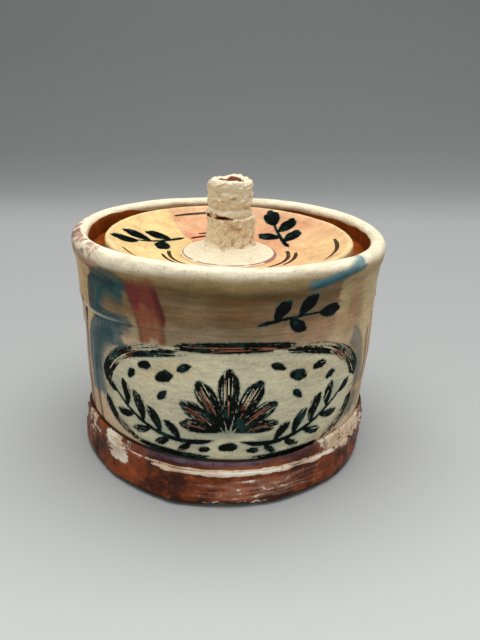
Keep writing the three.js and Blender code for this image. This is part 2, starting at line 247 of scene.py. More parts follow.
def dress(inputs, **values):
    """Sets a node's inputs by name, or as _0 by number: a field is led to its input, a plain value set."""
    for name, value in values.items():
        place = inputs[int(name[1:]) if name[1:].isdigit() else name.replace("_", " ")]
        if isinstance(value, Field):
            value.tree.links.new(value.socket, place)
        else:
            place.default_value = value


def node(tree, kind, settings=(), **values):
    """A new shader node: its kind, its settings by name, and its inputs. Gives its outputs."""
    new = tree.nodes.new("ShaderNode" + kind)
    for name, value in dict(settings).items():
        setattr(new, name, value)
    dress(new.inputs, **values)
    return {key: Field(socket) for key, socket in [*enumerate(new.outputs), *reversed(new.outputs.items())]}


def maths(operation, first, second):
    tree = first.tree if isinstance(first, Field) else second.tree
    return node(tree, "Math", {"operation": operation}, _0=first, _1=second)[0]


def mix(amount, below, above):
    """One colour laid over another."""
    return node(amount.tree, "Mix", {"data_type": "RGBA"}, _0=amount, _6=below, _7=above)[2]


def shade(tint, factor):
    """A colour made lighter or darker by a factor that changes over the surface."""
    return node(tint.tree, "VectorMath", {"operation": "SCALE"}, _0=tint, Scale=factor)[0]


def between(value, low, high, out_low=0.0, out_high=1.0):
    """A smooth climb from one output to the other while the field goes from low to high."""
    return node(value.tree, "MapRange", {"interpolation_type": "SMOOTHSTEP"}, Value=value, From_Min=low,
                From_Max=high, To_Min=out_low, To_Max=out_high)[0]


def kept(tree, name, part="Fac"):
    """What the mesh keeps at its points under this name."""
    return node(tree, "Attribute", {"attribute_name": name})[part]


def noise(tree, scale, detail=2.0, roughness=0.5, place=None):
    place = place or node(tree, "TexCoord")["Object"]
    return node(tree, "TexNoise", Vector=place, Scale=scale, Detail=detail, Roughness=roughness)["Fac"]


def dots(tree, scale, channel, rarity, outer, inner):
    """Round dots, in the few cells of a random grid whose number in this colour channel is over a limit."""
    cell = node(tree, "TexVoronoi", Vector=node(tree, "TexCoord")["Object"], Scale=scale)
    chosen = maths("GREATER_THAN", node(tree, "SeparateColor", Color=cell["Color"])[channel], rarity)
    return chosen * node(tree, "MapRange", Value=cell["Distance"], From_Min=outer, From_Max=inner)[0]


def group(name, numbers_in, make):
    """A shader node group of named numbers. Each number in has its usual value, and make gives those out."""
    tree = bpy.data.node_groups.new(name, "ShaderNodeTree")
    for label, usual in numbers_in.items():
        tree.interface.new_socket(label, in_out="INPUT", socket_type="NodeSocketFloat").default_value = usual
    given = tree.nodes.new("NodeGroupInput").outputs
    made = make(tree, *(Field(given[label]) for label in numbers_in))
    for label in made:
        tree.interface.new_socket(label, in_out="OUTPUT", socket_type="NodeSocketFloat")
    outside = tree.nodes.new("NodeGroupOutput").inputs
    for label, field in made.items():
        tree.links.new(field.socket, outside[label])
    return tree


def clay_grain(tree, speck_size, streak):
    """Fine brush grain, cloudy depth, iron specks and pinholes, which every piece of the jar shows."""
    stretch = node(tree, "CombineXYZ", X=180.0, Y=180.0, Z=streak * 180.0)[0]
    drawn = node(tree, "Mapping", Vector=node(tree, "TexCoord")["Object"], Scale=stretch)[0]
    brush, cloud = noise(tree, 1.0, 4.0, 0.62, drawn), noise(tree, 70.0, 3.0, 0.55)
    specks = dots(tree, maths("DIVIDE", 900.0, speck_size), 0, 0.86, 0.34, 0.16)
    pits = dots(tree, 420.0, 1, 0.9, 0.22, 0.1)
    return {"Brush": brush, "Cloud": cloud, "Specks": specks, "Pits": pits,
            "Height": brush * 0.6 + cloud * 0.5 - pits}


CLAY_GRAIN = group("clay grain", {"Speck Size": 1.0, "Streak": 5.0}, clay_grain)


def new_material(name, **shader):
    """A new material, its tree and its shader's inputs, with these plain values."""
    material = bpy.data.materials.new(name)
    material.use_nodes = True
    skin = material.node_tree.nodes["Principled BSDF"].inputs
    dress(skin, **shader)
    return material, material.node_tree, skin


def finish_of(name, speck_size, streak, **shader):
    """A new material for glazed clay, as above, and its grain."""
    material, tree, skin = new_material(name, Specular_IOR_Level=0.0, **shader)
    grain = node(tree, "Group", {"node_tree": CLAY_GRAIN}, Speck_Size=speck_size, Streak=streak)
    return material, tree, skin, grain


def ragged(tree, name, grain):
    """A mask kept on the mesh, with its edge broken up by the brush grain and by fine grit."""
    return kept(tree, name) + ((grain["Brush"] - 0.5) * 0.8 + (noise(tree, 1300.0) - 0.5) * 0.55)


def bumped(height, depth):
    """A surface raised by a height map, of so many mm."""
    return node(height.tree, "Bump", Strength=1.0, Distance=depth / 1000, Height=height)[0]


SLIP_CREAM, GLAZED_CLAY, DARK_CLAY = colour(232, 216, 184), colour(146, 68, 27), colour(62, 25, 11)


def bare_foot_finish():
    """Red-brown glazed clay, mottled, darkened at its base with painted shade and wiped with a veil of slip,
    under cream slip that is brightened in places as a painted highlight.
    """
    material, tree, skin, grain = finish_of("glossy red clay", 1.6, 2.0, Coat_Weight=0.4, Coat_Roughness=0.05)
    mottle, cloud = noise(tree, 250.0, 6.0, 0.7), grain["Cloud"]
    clay = mix(between(cloud * 0.6 + mottle * 0.4, 0.4, 0.6), DARK_CLAY, GLAZED_CLAY)
    clay = mix(between(mottle, 0.55, 0.7, 0.0, 0.6), clay, colour(186, 102, 52))
    clay = mix(between(mottle, 0.45, 0.32, 0.0, 0.7), clay, colour(76, 30, 14))
    clay = mix(grain["Specks"] * 0.7, clay, colour(40, 18, 10))
    # painted shade along the bottom edge
    clay = mix(between(ragged(tree, "base_shade", grain), 0.3, 0.8, 0.0, 0.85), clay, colour(34, 16, 10))
    clay = mix(between(ragged(tree, "veil", grain), 0.25, 1.0, 0.0, 0.62), clay, colour(188, 138, 116))
    slip = ragged(tree, "slip", grain)
    cover = between(slip, 0.46, 0.72, 0.0, 0.94)
    # the cream runs up to near white: partly slip, partly a painted highlight for the glaze's glints
    cream = mix(between(cloud, 0.36, 0.62), colour(218, 188, 160), colour(255, 246, 226))
    cream = mix(between(slip, 0.7, 0.5, 0.0, 0.6), cream, colour(176, 106, 70))
    dress(skin, Base_Color=mix(cover, clay, cream), Roughness=between(cloud, 0.3, 0.7, 0.3, 0.5),
          Normal=bumped(grain["Height"] + cover * 0.7, 0.34))
    return material


foot_slab.data.materials.append(bare_foot_finish())
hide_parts("foot_slab")
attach(foot_slab, "pot")

# The luting coil: a roll of soft clay pressed into the corner over the slab and smeared up the wall,
# higher on the right. It holds purple-grey slip, with an open groove above it, darkened on the wall by
# painted shade, and cream below, whose lower edge is brightened as a painted highlight.
COIL_FOOT, COIL_TOP = 13.7, 17.0


def coil_climb(angle):
    """How much higher the coil was smeared up the wall here."""
    return 2.6 * bump_at(angle, -0.6, 0.7)


def coil_work(angle, radius, height):
    radius_of_pot, new_height = pot_work(angle, radius, height)
    tuck = 1.1 * at(angle, -114, 46) * ease(radius, 53.3, 54.5)
    return radius_of_pot - tuck, new_height + ease(height, FOOT_TOP, COIL_TOP) * coil_climb(angle)


def coil_relief(angle, radius, height, place):
    """Finger dents all round, with torn slip at the right."""
    dents = 0.24 * lumps(place, (3.5, 3.5, 1.8), 12) + 0.12 * lumps(place, 1.2, 13)
    torn = 0.26 * at(angle, 52, 24) * lumps(place, 2.2, 14)
    return ease(height, FOOT_TOP, 14.6) * ease(radius, 53.3, 53.9) * (dents + torn)


luting_coil = thrown("luting_coil", profile(
    (WALL_FOOT, COIL_FOOT), (0.4, (54.85, COIL_FOOT)), (0.2, (54.8, 16.0), (53.75, COIL_TOP)),
    (0.25, (WALL_FOOT, 16.7)), (1.5, (WALL_FOOT, COIL_FOOT))))
angle, radius, height, place = work(luting_coil, coil_work, coil_relief)
grit = lumps(place, (1.5, 1.5, 0.9), 18)
# the coil's lower edge: cream slip, partly a painted highlight
low_slip_and_highlight = 0.4 + 0.34 * lumps(place, (6, 6, 3), 15) + 0.2 * grit + 0.55 * at(angle, 8, 54)
keep(luting_coil, "slip", np.maximum.reduce([
    (1 - ease(height, 14.1, 15.3)) * low_slip_and_highlight,
    at(angle, 55, 30) * (0.86 + 0.3 * lumps(place, 2.6, 16) + 0.2 * grit),
    drips(angle) * (0.8 + 0.45 * lumps(place, (3, 3, 8), 6) + 0.25 * grit)]))
keep(luting_coil, "plum", at(angle, -2, 46) * ease(height, 15.3, 16.3) * (0.8 + 0.35 * lumps(place, 4, 17)))


def smeared_coil_finish():
    """Purple-grey and brown slip, cream where it was smeared thick and lifted near white as a painted
    highlight, with brown pits.
    """
    material, tree, skin, grain = finish_of("smeared slip", 1.4, 3.0, Coat_Weight=0.4, Coat_Roughness=0.08)
    cloud, brush = grain["Cloud"], grain["Brush"]
    under = mix(between(cloud, 0.35, 0.65), colour(70, 30, 14), colour(150, 80, 40))
    purple = mix(between(brush, 0.36, 0.64), colour(58, 42, 54), colour(108, 92, 112))
    under = mix(kept(tree, "plum"), under, purple)
    cover = between(ragged(tree, "slip", grain), 0.44, 0.74, 0.0, 0.95)
    # the cream runs up to near white: partly slip, partly a painted highlight
    cream = mix(between(cloud, 0.36, 0.62), colour(224, 192, 158), colour(255, 244, 222))
    cream = mix(between(brush, 0.5, 0.36, 0.0, 0.55), cream, colour(176, 118, 80))
    dress(skin, Base_Color=mix(grain["Specks"] * 0.8, mix(cover, under, cream), DARK_CLAY),
          Roughness=between(cloud, 0.3, 0.7, 0.32, 0.55), Normal=bumped(grain["Height"] + cover * 0.5, 0.3))
    return material


luting_coil.data.materials.append(smeared_coil_finish())
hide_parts("luting_coil")
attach(luting_coil, "pot")

# The lower wall: a strip of clay bent round and brushed with slip, then painted. A pale sage panel at
# the front holds a leafy fan between two branches, and single sprigs stand round the back.
WALL_OUTSIDE, WALL_INSIDE, BELLY = 54.7, 49.7, (WAIST + RIDGE) / 2
PAINTED_RADIUS, LINE_REACH = 55.0, 1.3


def flat_of(place):
    """Millimetres round the pot from the front, to the right, and height."""
    return np.stack((PAINTED_RADIUS * np.arctan2(place[:, 0], -place[:, 1]), place[:, 2]), axis=1)


def brush_path(start, middle, end, spacing):
    """Points along a curved stroke: each one's share of it, its place, the way on and the length so far."""
    start, middle, end = (np.array(p, float) for p in (start, middle, end))
    count = max(6, math.ceil((np.linalg.norm(middle - start) + np.linalg.norm(end - middle)) / spacing))
    t = np.linspace(0, 1, count + 1)[:, None]
    path = (1 - t) ** 2 * start + 2 * t * (1 - t) * middle + t**2 * end
    ahead = np.gradient(path, axis=0)
    length = np.linalg.norm(ahead, axis=1)
    return t[:, 0], path, ahead / length[:, None], np.concatenate(([0], np.cumsum(length[1:])))


def by_brush(flat, stroke, reach):
    """For the points within reach of a stroke: which they are, their share of it, and their place along,
    across and away from it."""
    t, path, ahead, along = stroke
    near = np.flatnonzero(np.all((flat > path.min(0) - reach) & (flat < path.max(0) + reach), axis=1))
    gap = flat[near, None] - path[None]
    nearest = np.argmin((gap**2).sum(2), axis=1)
    gap, way = gap[np.arange(len(near)), nearest], ahead[nearest]
    across = gap[:, 1] * way[:, 0] - gap[:, 0] * way[:, 1]
    return near, t[nearest], along[nearest] + (gap * way).sum(1), across, np.linalg.norm(gap, axis=1)


def fat_at(t, kind):
    """How full a stroke is along its length: a leaf is pointed, a dab is blunt, a sweep dies out."""
    if kind == "leaf":
        return np.sin(math.pi * np.clip(t, 0, 1) ** 0.85) ** 0.75
    if kind == "dab":
        return np.sqrt(np.clip(1 - (1.7 * t - 0.75) ** 4, 0.02, 1)) * (0.75 + 0.25 * t)
    if kind == "drop":
        return np.clip(t, 0.01, 1) ** 0.75 * np.clip(1.02 - t, 0, 1) ** 0.4 / 0.48
    if kind == "petal":
        return np.clip(t, 0.01, 1) ** 1.1 * np.clip(1.02 - t, 0, 1) ** 0.4 / 0.43
    if kind == "dry":
        return 0.55 + 0.45 * np.sin(math.pi * np.clip(t, 0, 1))
    return ease(t, -0.05, 0.12) * (1 - 0.55 * t)


def paint(piece, flat, strokes):
    """Keeps at each point how far it is inside the nearest black stroke, its place along and across it,
    and how dry the brush was there. The material draws the ink from these."""
    ink, dry = np.tile((-3.0, 0, 0), (len(flat), 1)), np.zeros(len(flat))
    for kind, start, middle, end, width, dryness in strokes:
        near, t, along, across, away = by_brush(flat, brush_path(start, middle, end, 0.3), 3 + width / 2)
        inside = np.clip(width / 2 * fat_at(t, kind) - away, -3, None)
        better = inside > ink[near, 0]
        ink[near[better]] = np.stack((inside, along + start[0], across), axis=1)[better]
        worn = np.abs(2 * t - 1) ** 1.5 if kind == "dry" else t
        dried = dryness * (0.35 + 0.65 * worn) + (0.5 * ease(worn, 0.6, 1.0) if kind == "dry" else 0)
        dry[near[better]] = dried[better]
    keep(piece, "ink", ink)
    keep(piece, "dry", dry)


def draw(piece, flat, name, lines):
    """Keeps at each point its place across the nearest thin line, in half widths, and how near that is."""
    thin, closest = np.tile((9.0, 0, 0), (len(flat), 1)), np.full(len(flat), LINE_REACH)
    for start, middle, end, width in lines:
        near, t, along, across, away = by_brush(flat, brush_path(start, middle, end, 0.25), LINE_REACH)
        half = width / 2 * (0.55 + 0.45 * np.sin(math.pi * np.clip(t, 0, 1)))
        better = away < closest[near]
        closest[near[better]] = away[better]
        thin[near[better], :2] = np.stack((across / half, 1 - away / LINE_REACH), axis=1)[better]
    keep(piece, name, thin)


def lay(tint, amount, tone):
    """Lays one colour over another, as much as an amount for each point says."""
    return tint + np.reshape(amount, (-1, 1)) * (np.array(tone)[..., :3] - tint)


def washed(flat, tint, washes, place):
    """Lays coloured washes over a ground with a flat brush, one after another. Each has streaks along it
    and ragged ends. Its two sides, the right one first, are each as soft as its numbers say."""
    cloud = lumps(place, 6, 32)
    for number, (start, middle, end, width, (soft_right, soft_left), strength, wash) in enumerate(washes):
        stroke = brush_path(start, middle, end, 1.0)
        near, t, along, across, away = by_brush(flat, stroke, width + max(soft_right, soft_left))
        on_brush = np.stack((along, across, 0 * t), 1)
        streaks = lumps(on_brush, (11, 0.9, 1), 31 + number)
        broad = lumps(on_brush, (14, 3.2, 1), 60 + number)
        soft = np.where(across > 0, soft_left, soft_right)
        side = np.clip((width / 2 - np.abs(across) + 0.7 * cloud[near]) / soft * 0.5 + 0.5, 0, 1)
        to_end = np.minimum(along, stroke[3][-1] - along) + width * 0.2 + 1.6 * streaks + 1.2 * broad
        full = side * side * (3 - 2 * side) * ease(to_end, -0.9, 1.2)
        amount = strength * full * (0.84 + 0.14 * streaks + 0.16 * broad)
        gathered = 0.45 * (soft < 1) * ease(np.abs(across), width / 2 - 1.8, width / 2 - 0.2)
        tint[near] = lay(tint[near], np.clip(amount, 0, 1), np.array(wash[:3]) * (1 - gathered)[:, None])
    return tint


def add_leaf(strokes, stem, t, side, length, width, lean, dryness=0.12):
    """Adds one brushed leaf to a stem, leaning away from it on one side."""
    start, middle, end = (np.array(p, float) for p in stem)
    root = (1 - t) ** 2 * start + 2 * t * (1 - t) * middle + t**2 * end
    way = 2 * (1 - t) * (middle - start) + 2 * t * (end - middle)
    turn = math.atan2(way[1], way[0]) + side * lean
    tip = root + length * np.array((math.cos(turn), math.sin(turn)))
    bend = (root + tip) / 2 + side * 0.16 * length * np.array((-math.sin(turn), math.cos(turn)))
    strokes.append(("drop", root, bend, tip, width, dryness))


strokes, scratches = [], []
# a fan of seven pressed strokes, scratched through
for spread, length, width in ((-80, 13.5, 5.0), (-54, 17, 5.8), (-27, 20, 6.4), (-1, 22.5, 7.0),
                              (26, 20.5, 6.4), (52, 17, 5.8), (79, 14, 5.0)):
    lean = math.radians(90 - spread)
    root, way = np.array((1.5 + 0.03 * spread, 28.6)), np.array((math.cos(lean), math.sin(lean)))
    tip, aside = root + length * way, 0.2 * width * np.array((-way[1], way[0]))
    bend = (root + tip) / 2 + (0, 1)
    strokes.append(("petal", root, bend, tip, width, 0.4))
    scratches.append((root + (tip - root) * 0.35, bend + (tip - bend) * 0.2,
                      root + (tip - root) * 0.9, 0.55))
    if abs(spread) < 60:
        scratches.append([root + t * (tip - root) + aside for t in (0.5, 0.7, 0.86)] + [0.35])
# a branch to each side with heavy brushed leaves
for side, stem in ((-1, ((-3.5, 25.5), (-24, 20.0), (-43, 36.5))), (1, ((6, 25), (26, 19.5), (45, 38)))):
    strokes.append(("sweep", *stem, 2.0, 0.3))
    for t, length, width in ((0.3, 8.0, 3.2), (0.48, 10.0, 3.7), (0.66, 11.0, 4.0), (0.84, 9.5, 3.6)):
        add_leaf(strokes, stem, t, side, length, width, 0.85, 0.36)
    for t, length, width in ((0.2, 5.6, 2.5), (0.39, 6.2, 2.7), (0.58, 7.6, 3.0), (0.76, 8.0, 3.1)):
        add_leaf(strokes, stem, t, -side, length, width, 0.7, 0.42)
    add_leaf(strokes, stem, 0.97, -side, 6.0, 3.4, 0.1, 0.3)
    x = stem[0][0]
    scratches += [((x + side * 24, 33.5), (x + side * 25.5, 35.5), (x + side * 26.0, 38.0), 0.5),
                  ((x + side * 31.5, 36.5), (x + side * 33.0, 39.0), (x + side * 32.6, 41.5), 0.45)]
# loose dabs, some thick and round, some dragged
for kind, x, z, wide, tall, lean in (
        ("dab", -20.5, 47.6, 4.4, 4.6, 0.4), ("dab", -28.0, 50.0, 3.6, 3.4, 0.2),
        ("leaf", -13.6, 51.8, 5.6, 2.8, 0.5), ("dab", -33.8, 45.6, 3.0, 3.0, 0.9),
        ("leaf", -21.4, 40.6, 5.4, 2.6, 0.9), ("dab", 25.0, 48.6, 4.4, 4.8, -0.3),
        ("leaf", 17.4, 52.6, 6.0, 2.8, -0.4), ("dab", 33.4, 50.6, 3.8, 3.4, 0.1),
        ("dab", 38.6, 45.8, 2.8, 3.0, 0.4), ("leaf", 25.0, 41.6, 5.2, 2.6, -0.8),
        ("dab", 1.6, 22.8, 4.8, 3.8, 0.1), ("dab", -6.6, 21.4, 2.8, 2.6, 0.2),
        ("dab", 10.2, 21.2, 3.0, 2.6, -0.1)):
    middle, reach = np.array((x, z)), wide / 2 * np.array((math.cos(lean), math.sin(lean)))
    strokes.append((kind, middle - reach, middle + (0, 0.4), middle + reach, tall, 0.24))
# dry sweeps along the top and the lower corners of the panel
strokes += [("sweep", (-48, 38), (-45, 52), (-24, 57.2), 6.6, 0.66),
            ("dry", (-46.5, 46), (-38, 54.5), (-12, 57.4), 3.4, 0.5),
            ("sweep", (53, 41), (50, 54), (29, 58.4), 6.2, 0.66),
            ("dry", (51, 48), (42, 56.5), (16, 59.0), 3.2, 0.5),
            ("dry", (-20, 58.6), (2, 61.2), (26, 59.4), 3.8, 0.5),
            ("sweep", (-49, 31), (-46.5, 23.5), (-33, 19.6), 4.8, 0.6),
            ("sweep", (53, 33), (51, 24.5), (38, 19.6), 4.6, 0.6),
            ("dry", (-34, 19.6), (-18, 17.9), (-3, 18.3), 2.4, 0.4),
            ("dry", (38, 19.4), (22, 17.8), (7, 18.2), 2.4, 0.4)]
scratches += [((-46.5, 41), (-42, 50.6), (-27, 56.2), 0.55), ((-45, 38), (-42.5, 46), (-34, 51.5), 0.45),
              ((51.5, 43), (47, 52.4), (33, 57.4), 0.55), ((49.5, 41), (46, 49), (38, 54), 0.45),
              ((-12, 59.4), (3, 60.8), (17, 59.4), 0.5), ((-4, 58.6), (7, 59.8), (20, 58.8), 0.4)]
# a loose sprig of four leaves on the collar, right of the middle, and one narrow leaf at the far left
collar_stem = ((9.5, 67.6), (19, 70.6), (31, 70.2))
strokes.append(("sweep", *collar_stem, 1.7, 0.2))
for t, side, length, width in ((0.28, 1, 7.4, 4.4), (0.52, -1, 7.2, 4.2), (0.66, 1, 8.0, 4.8),
                               (0.96, 0, 8.2, 4.8)):
    add_leaf(strokes, collar_stem, t, side, length, width, 0.8)
strokes.append(("leaf", (-64.6, 54.0), (-65.4, 59.5), (-64.2, 65.0), 3.4, 0.1))
# one tall sprig on each of the four pale panels round the back
BACK_PANELS = [PAINTED_RADIUS * math.radians(turn) for turn in (102, 152, -157, -105)]
for x in BACK_PANELS:
    stem = ((x - 2, 22), (x + 5, 38), (x + 0.5, 56))
    strokes.append(("sweep", *stem, 1.8, 0.3))
    for t in (0.2, 0.42, 0.64, 0.84):
        add_leaf(strokes, stem, t, 1, 12.0 - 4 * t, 5.4 - 1.6 * t, 0.75, 0.36)
        add_leaf(strokes, stem, t + 0.08, -1, 11.5 - 4 * t, 5.2 - 1.6 * t, 0.75, 0.42)
    add_leaf(strokes, stem, 0.98, 0, 9.0, 4.4, 0.0, 0.3)
    for dx, z in ((-10, 68), (9.5, 70), (12, 27)):
        strokes.append(("dab", (x + dx - 1.5, z), (x + dx, z + 0.5), (x + dx + 1.6, z + 0.4), 4.2, 0.16))
    strokes += [("dry", (x - 13, 34), (x - 13.5, 53), (x - 3, 59.6), 3.0, 0.5),
                ("dry", (x + 13.5, 46), (x + 14, 30), (x + 8, 22), 2.4, 0.5)]
    scratches += [((x - 12.8, 40), (x - 12.4, 51), (x - 6, 57.4), 0.5),
                  ((x + 2.5, 34), (x + 3, 42), (x + 1.5, 50), 0.4)]

PLUM, RUST, TEAL = colour(120, 42, 40), colour(150, 86, 54), colour(22, 74, 78)
DEEP_TEAL, BLUE_GREY = colour(10, 40, 50), colour(44, 92, 102)
SAGE, OCHRE = colour(222, 214, 180), colour(160, 122, 66)
TAN, PINK = colour(216, 178, 118), colour(196, 146, 112)
BORDER_BROWN, BAND_BROWN, DARK_BAND = colour(112, 58, 36), colour(112, 78, 34), colour(84, 64, 22)
MID_BAND, PALE_BAND = colour(124, 106, 76), colour(206, 180, 132)
pot_washes = [
    # the brown collar band, yellow tan at the far left and paler to the right
    ((-58, 74), (0, 73), (64, 74), 18, (4, 4), 0.97, BAND_BROWN),
    ((-40, 78), (0, 77.4), (46, 78), 6.5, (3, 2), 0.75, DARK_BAND),
    ((-44, 62), (0, 63), (56, 63), 8, (3, 4), 0.75, MID_BAND),
    ((42, 70), (58, 70), (80, 70), 20, (6, 6), 0.8, PALE_BAND),
    ((62, 68), (66, 44), (62, 16), 18, (4, 4), 0.8, PALE_BAND),
    ((-96, 72), (-80, 70), (-58, 69), 22, (3, 3), 0.9, TAN),
    ((20, 64), (34, 65), (50, 64), 7, (3, 2), 0.5, PINK),
    # patches of teal, plum and rust laid over the band with a flat brush
    ((-37, 74.5), (-52, 79), (-50.5, 62), 11, (0.5, 3.4), 1.0, TEAL),
    ((-40, 75.6), (-55, 80), (-54, 64), 4, (0.6, 2.4), 0.8, DEEP_TEAL),
    ((-51, 64), (-44, 62.4), (-35, 63.4), 6, (1.6, 0.8), 0.8, TEAL),
    ((-28, 77.6), (-26.5, 73), (-25.5, 68), 12, (0.7, 0.5), 1.0, PLUM),
    ((-27, 69), (-25.4, 65), (-25, 61), 10, (0.9, 0.6), 0.92, RUST),
    ((-22.8, 77), (-21.4, 73), (-20.8, 67), 2.6, (1.2, 0.5), 0.5, colour(58, 22, 30)),
    ((46, 76), (49, 72), (49, 66), 8, (0.8, 3.0), 0.4, RUST),
    # corners beside the panel
    ((47, 50), (56, 38), (50, 22), 14, (4, 4), 0.8, OCHRE),
    ((-60, 52), (-57, 36), (-57, 20), 13, (4, 4), 0.5, colour(206, 176, 140)),
    ((50, 57), (58, 50), (57, 36), 6.5, (2.4, 0.8), 0.62, BLUE_GREY),
    ((58, 30), (55, 22), (48, 18), 7, (1.6, 2.4), 0.6, BLUE_GREY),
    # brown border lines at the sides, and a wash over one of them
    ((-65, 60), (-66.5, 42), (-65, 17), 3.2, (0.6, 0.6), 1.0, BORDER_BROWN),
    ((-56.0, 44), (-57.4, 32), (-55.4, 17), 3.0, (0.6, 0.6), 0.95, BORDER_BROWN),
    ((63, 56), (63.5, 40), (61.5, 17), 1.8, (0.6, 0.6), 0.8, BORDER_BROWN),
    ((68, 60), (67.5, 42), (66, 17), 1.6, (0.6, 0.6), 0.7, BORDER_BROWN),
    ((-40, 58), (-60, 58), (-55, 32), 13, (0.6, 2.6), 0.95, BLUE_GREY),
    ((-44, 56.5), (-57, 55), (-54, 40), 6, (1.2, 2.0), 0.85, TEAL)]
for x, patch, second in zip(BACK_PANELS, (PLUM, TEAL, RUST, BLUE_GREY), (RUST, BLUE_GREY, PLUM, TEAL)):
    pot_washes += [((x - 25, 74), (x, 76), (x + 25, 74), 14, (4, 4), 0.85, BAND_BROWN),
                   ((x - 3, 24), (x + 1, 40), (x, 55), 24, (1.6, 1.6), 0.92, SAGE),
                   ((x - 8, 79), (x - 7, 73), (x - 6, 65), 11, (0.6, 2.6), 0.92, patch),
                   ((x + 9, 64), (x + 13, 60), (x + 18, 52), 6, (0.6, 2.0), 0.85, second),
                   ((x + 19, 60), (x + 19.5, 40), (x + 19, 20), 1.1, (0.6, 0.6), 0.85, BORDER_BROWN)]
# thin teal laid on the panel under the black, along the branches and round the fan
GREEN_TEAL = colour(84, 122, 112)
panel_washes = [((-8, 24), (-26, 24), (-42, 40), 7, (1.4, 1.4), 0.34, GREEN_TEAL),
                ((42, 40), (28, 23), (12, 24), 7, (1.4, 1.4), 0.34, GREEN_TEAL),
                ((-9, 30), (1.5, 27), (12, 30), 4, (1.2, 1.2), 0.5, GREEN_TEAL),
                ((-30, 46), (-22, 51), (-12, 51), 5, (1.6, 1.6), 0.35, TAN),
                ((16, 51), (26, 52), (36, 48), 5, (1.6, 1.6), 0.35, TAN),
                ((-47, 44), (-44, 50), (-36, 54), 4, (1, 1.6), 0.6, DEEP_TEAL)]


def pot_ground(flat, place):
    """The slip on the wall: tan, with the front panel wiped back to pale sage, dingy at its edge."""
    ground = np.tile(colour(222, 196, 162)[:3], (len(place), 1))
    ground = lay(ground, 0.5 + 0.5 * lumps(place, 14, 33), colour(204, 170, 132))
    tint = washed(flat, ground, pot_washes, place)
    across, up = (flat[:, 0] - 2) / 52, (flat[:, 1] - 38.3) / 21.3
    waver = 0.03 * lumps(place, 5, 34) + 0.015 * lumps(place, 1.5, 35)
    squareness = 2.6
    inside = 1 - (np.abs(across) ** squareness + np.abs(up) ** squareness) ** (1 / squareness) + waver
    sage = np.array(SAGE[:3]) * (1 + 0.07 * lumps(place, (9, 9, 3), 36))[:, None]
    dingy = (1 - ease(inside, 0.0, 0.16)) * (0.42 + 0.4 * lumps(place, (7, 7, 1.2), 37))
    sage = lay(sage, np.clip(dingy, 0, 1), colour(150, 132, 96))
    return lay(tint, ease(inside, -0.008, 0.026) * 0.98, washed(flat, sage, panel_washes, place))


def hand_dents(place):
    """Slow dents from the hands, and low ribs left by the paddle and the brush."""
    return lumps(place, (16, 16, 11), 21), lumps(place, (9, 9, 1.6), 22)


def wall_relief(angle, radius, height, place):
    """Dents and ribs, and an open groove over the coil."""
    dents, ribs = hand_dents(place)
    over_coil = np.abs(height - COIL_TOP - coil_climb(angle) - 0.1)
    groove = 0.55 * (1 - ease(over_coil, 0.2, 0.9)) * (1 - 0.8 * at(angle, 50, 45))
    return ease(radius, 51.0, 52.8) * (0.2 * dents + 0.07 * ribs - 0.08 - groove)


lower_wall = thrown("lower_wall", profile(
    (WALL_FOOT_INSIDE, FOOT_TOP), (1.5, (WALL_FOOT, FOOT_TOP)), (0.4, (WALL_FOOT, WAIST)),
    (0.45, (54.1, BELLY - 6), (WALL_OUTSIDE, BELLY)), (0.45, (WALL_OUTSIDE, RIDGE)),
    (1.4, (WALL_INSIDE, SCARF_TOP)), (6, (WALL_INSIDE, BELLY)),
    (6, (49.1, BELLY - 6), (WALL_FOOT_INSIDE, WAIST)), (4, (WALL_FOOT_INSIDE, FOOT_TOP))))
angle, radius, height, place = work(lower_wall, pot_work, wall_relief)
flat, outer = flat_of(place), radius > 51.5
paint(lower_wall, flat, strokes)
draw(lower_wall, flat, "scratches", scratches)
# a thin dark brown line just over the coil: painted shade in the groove where the wall meets it
crack = (1 - ease(height - COIL_TOP - coil_climb(angle), 0.5, 1.5)) * (1 - 0.85 * at(angle, 52, 40))
keep(lower_wall, "wash", lay(pot_ground(flat, place), 0.9 * crack, colour(58, 30, 20)))
keep(lower_wall, "bare", np.where(outer, 0.0, 1.0))
keep(lower_wall, "cream", 0.62 * at(angle, 57, 20) * (1 - ease(height, 20, 32)) * outer)


def ink_marks(tree):
    """Black brushwork: solid inside, streaked and broken where the brush ran dry, teal where it thins out."""
    stroke_at = node(tree, "SeparateXYZ", Vector=kept(tree, "ink", "Vector"))
    depth_in, along, across = stroke_at[0], stroke_at[1], stroke_at[2]
    rough_edge = noise(tree, 900.0) - 0.5
    bristles = node(tree, "CombineXYZ", X=along * 0.16, Y=across * 2.3, Z=3.7)[0]
    hairs = noise(tree, 1.0, 3.0, 0.6, bristles) + rough_edge * 0.4
    reach = depth_in + rough_edge * 0.75
    worn = hairs * 1.6 - 0.26 - kept(tree, "dry")

    def thin_line(name):
        line_at = node(tree, "SeparateXYZ", Vector=kept(tree, name, "Vector"))
        return between(abs(line_at[0]) + rough_edge * 0.8, 1.15, 0.8) * between(line_at[1], 0.35, 0.45)

    faint = thin_line("lines") * between(hairs, 0.3, 0.6, 0.6, 0.95)
    return {"Ink": maths("MAXIMUM", between(reach, -0.04, 0.1) * between(worn, -0.03, 0.09), faint),
            "Thin": between(reach, -0.75, 0.15) * between(worn, -0.25, 0.1),
            "Scratch": thin_line("scratches") * between(noise(tree, 260.0, 1.0), 0.36, 0.46)}


INK_MARKS = group("ink marks", {}, ink_marks)
INNER_AMBER = colour(146, 72, 25)


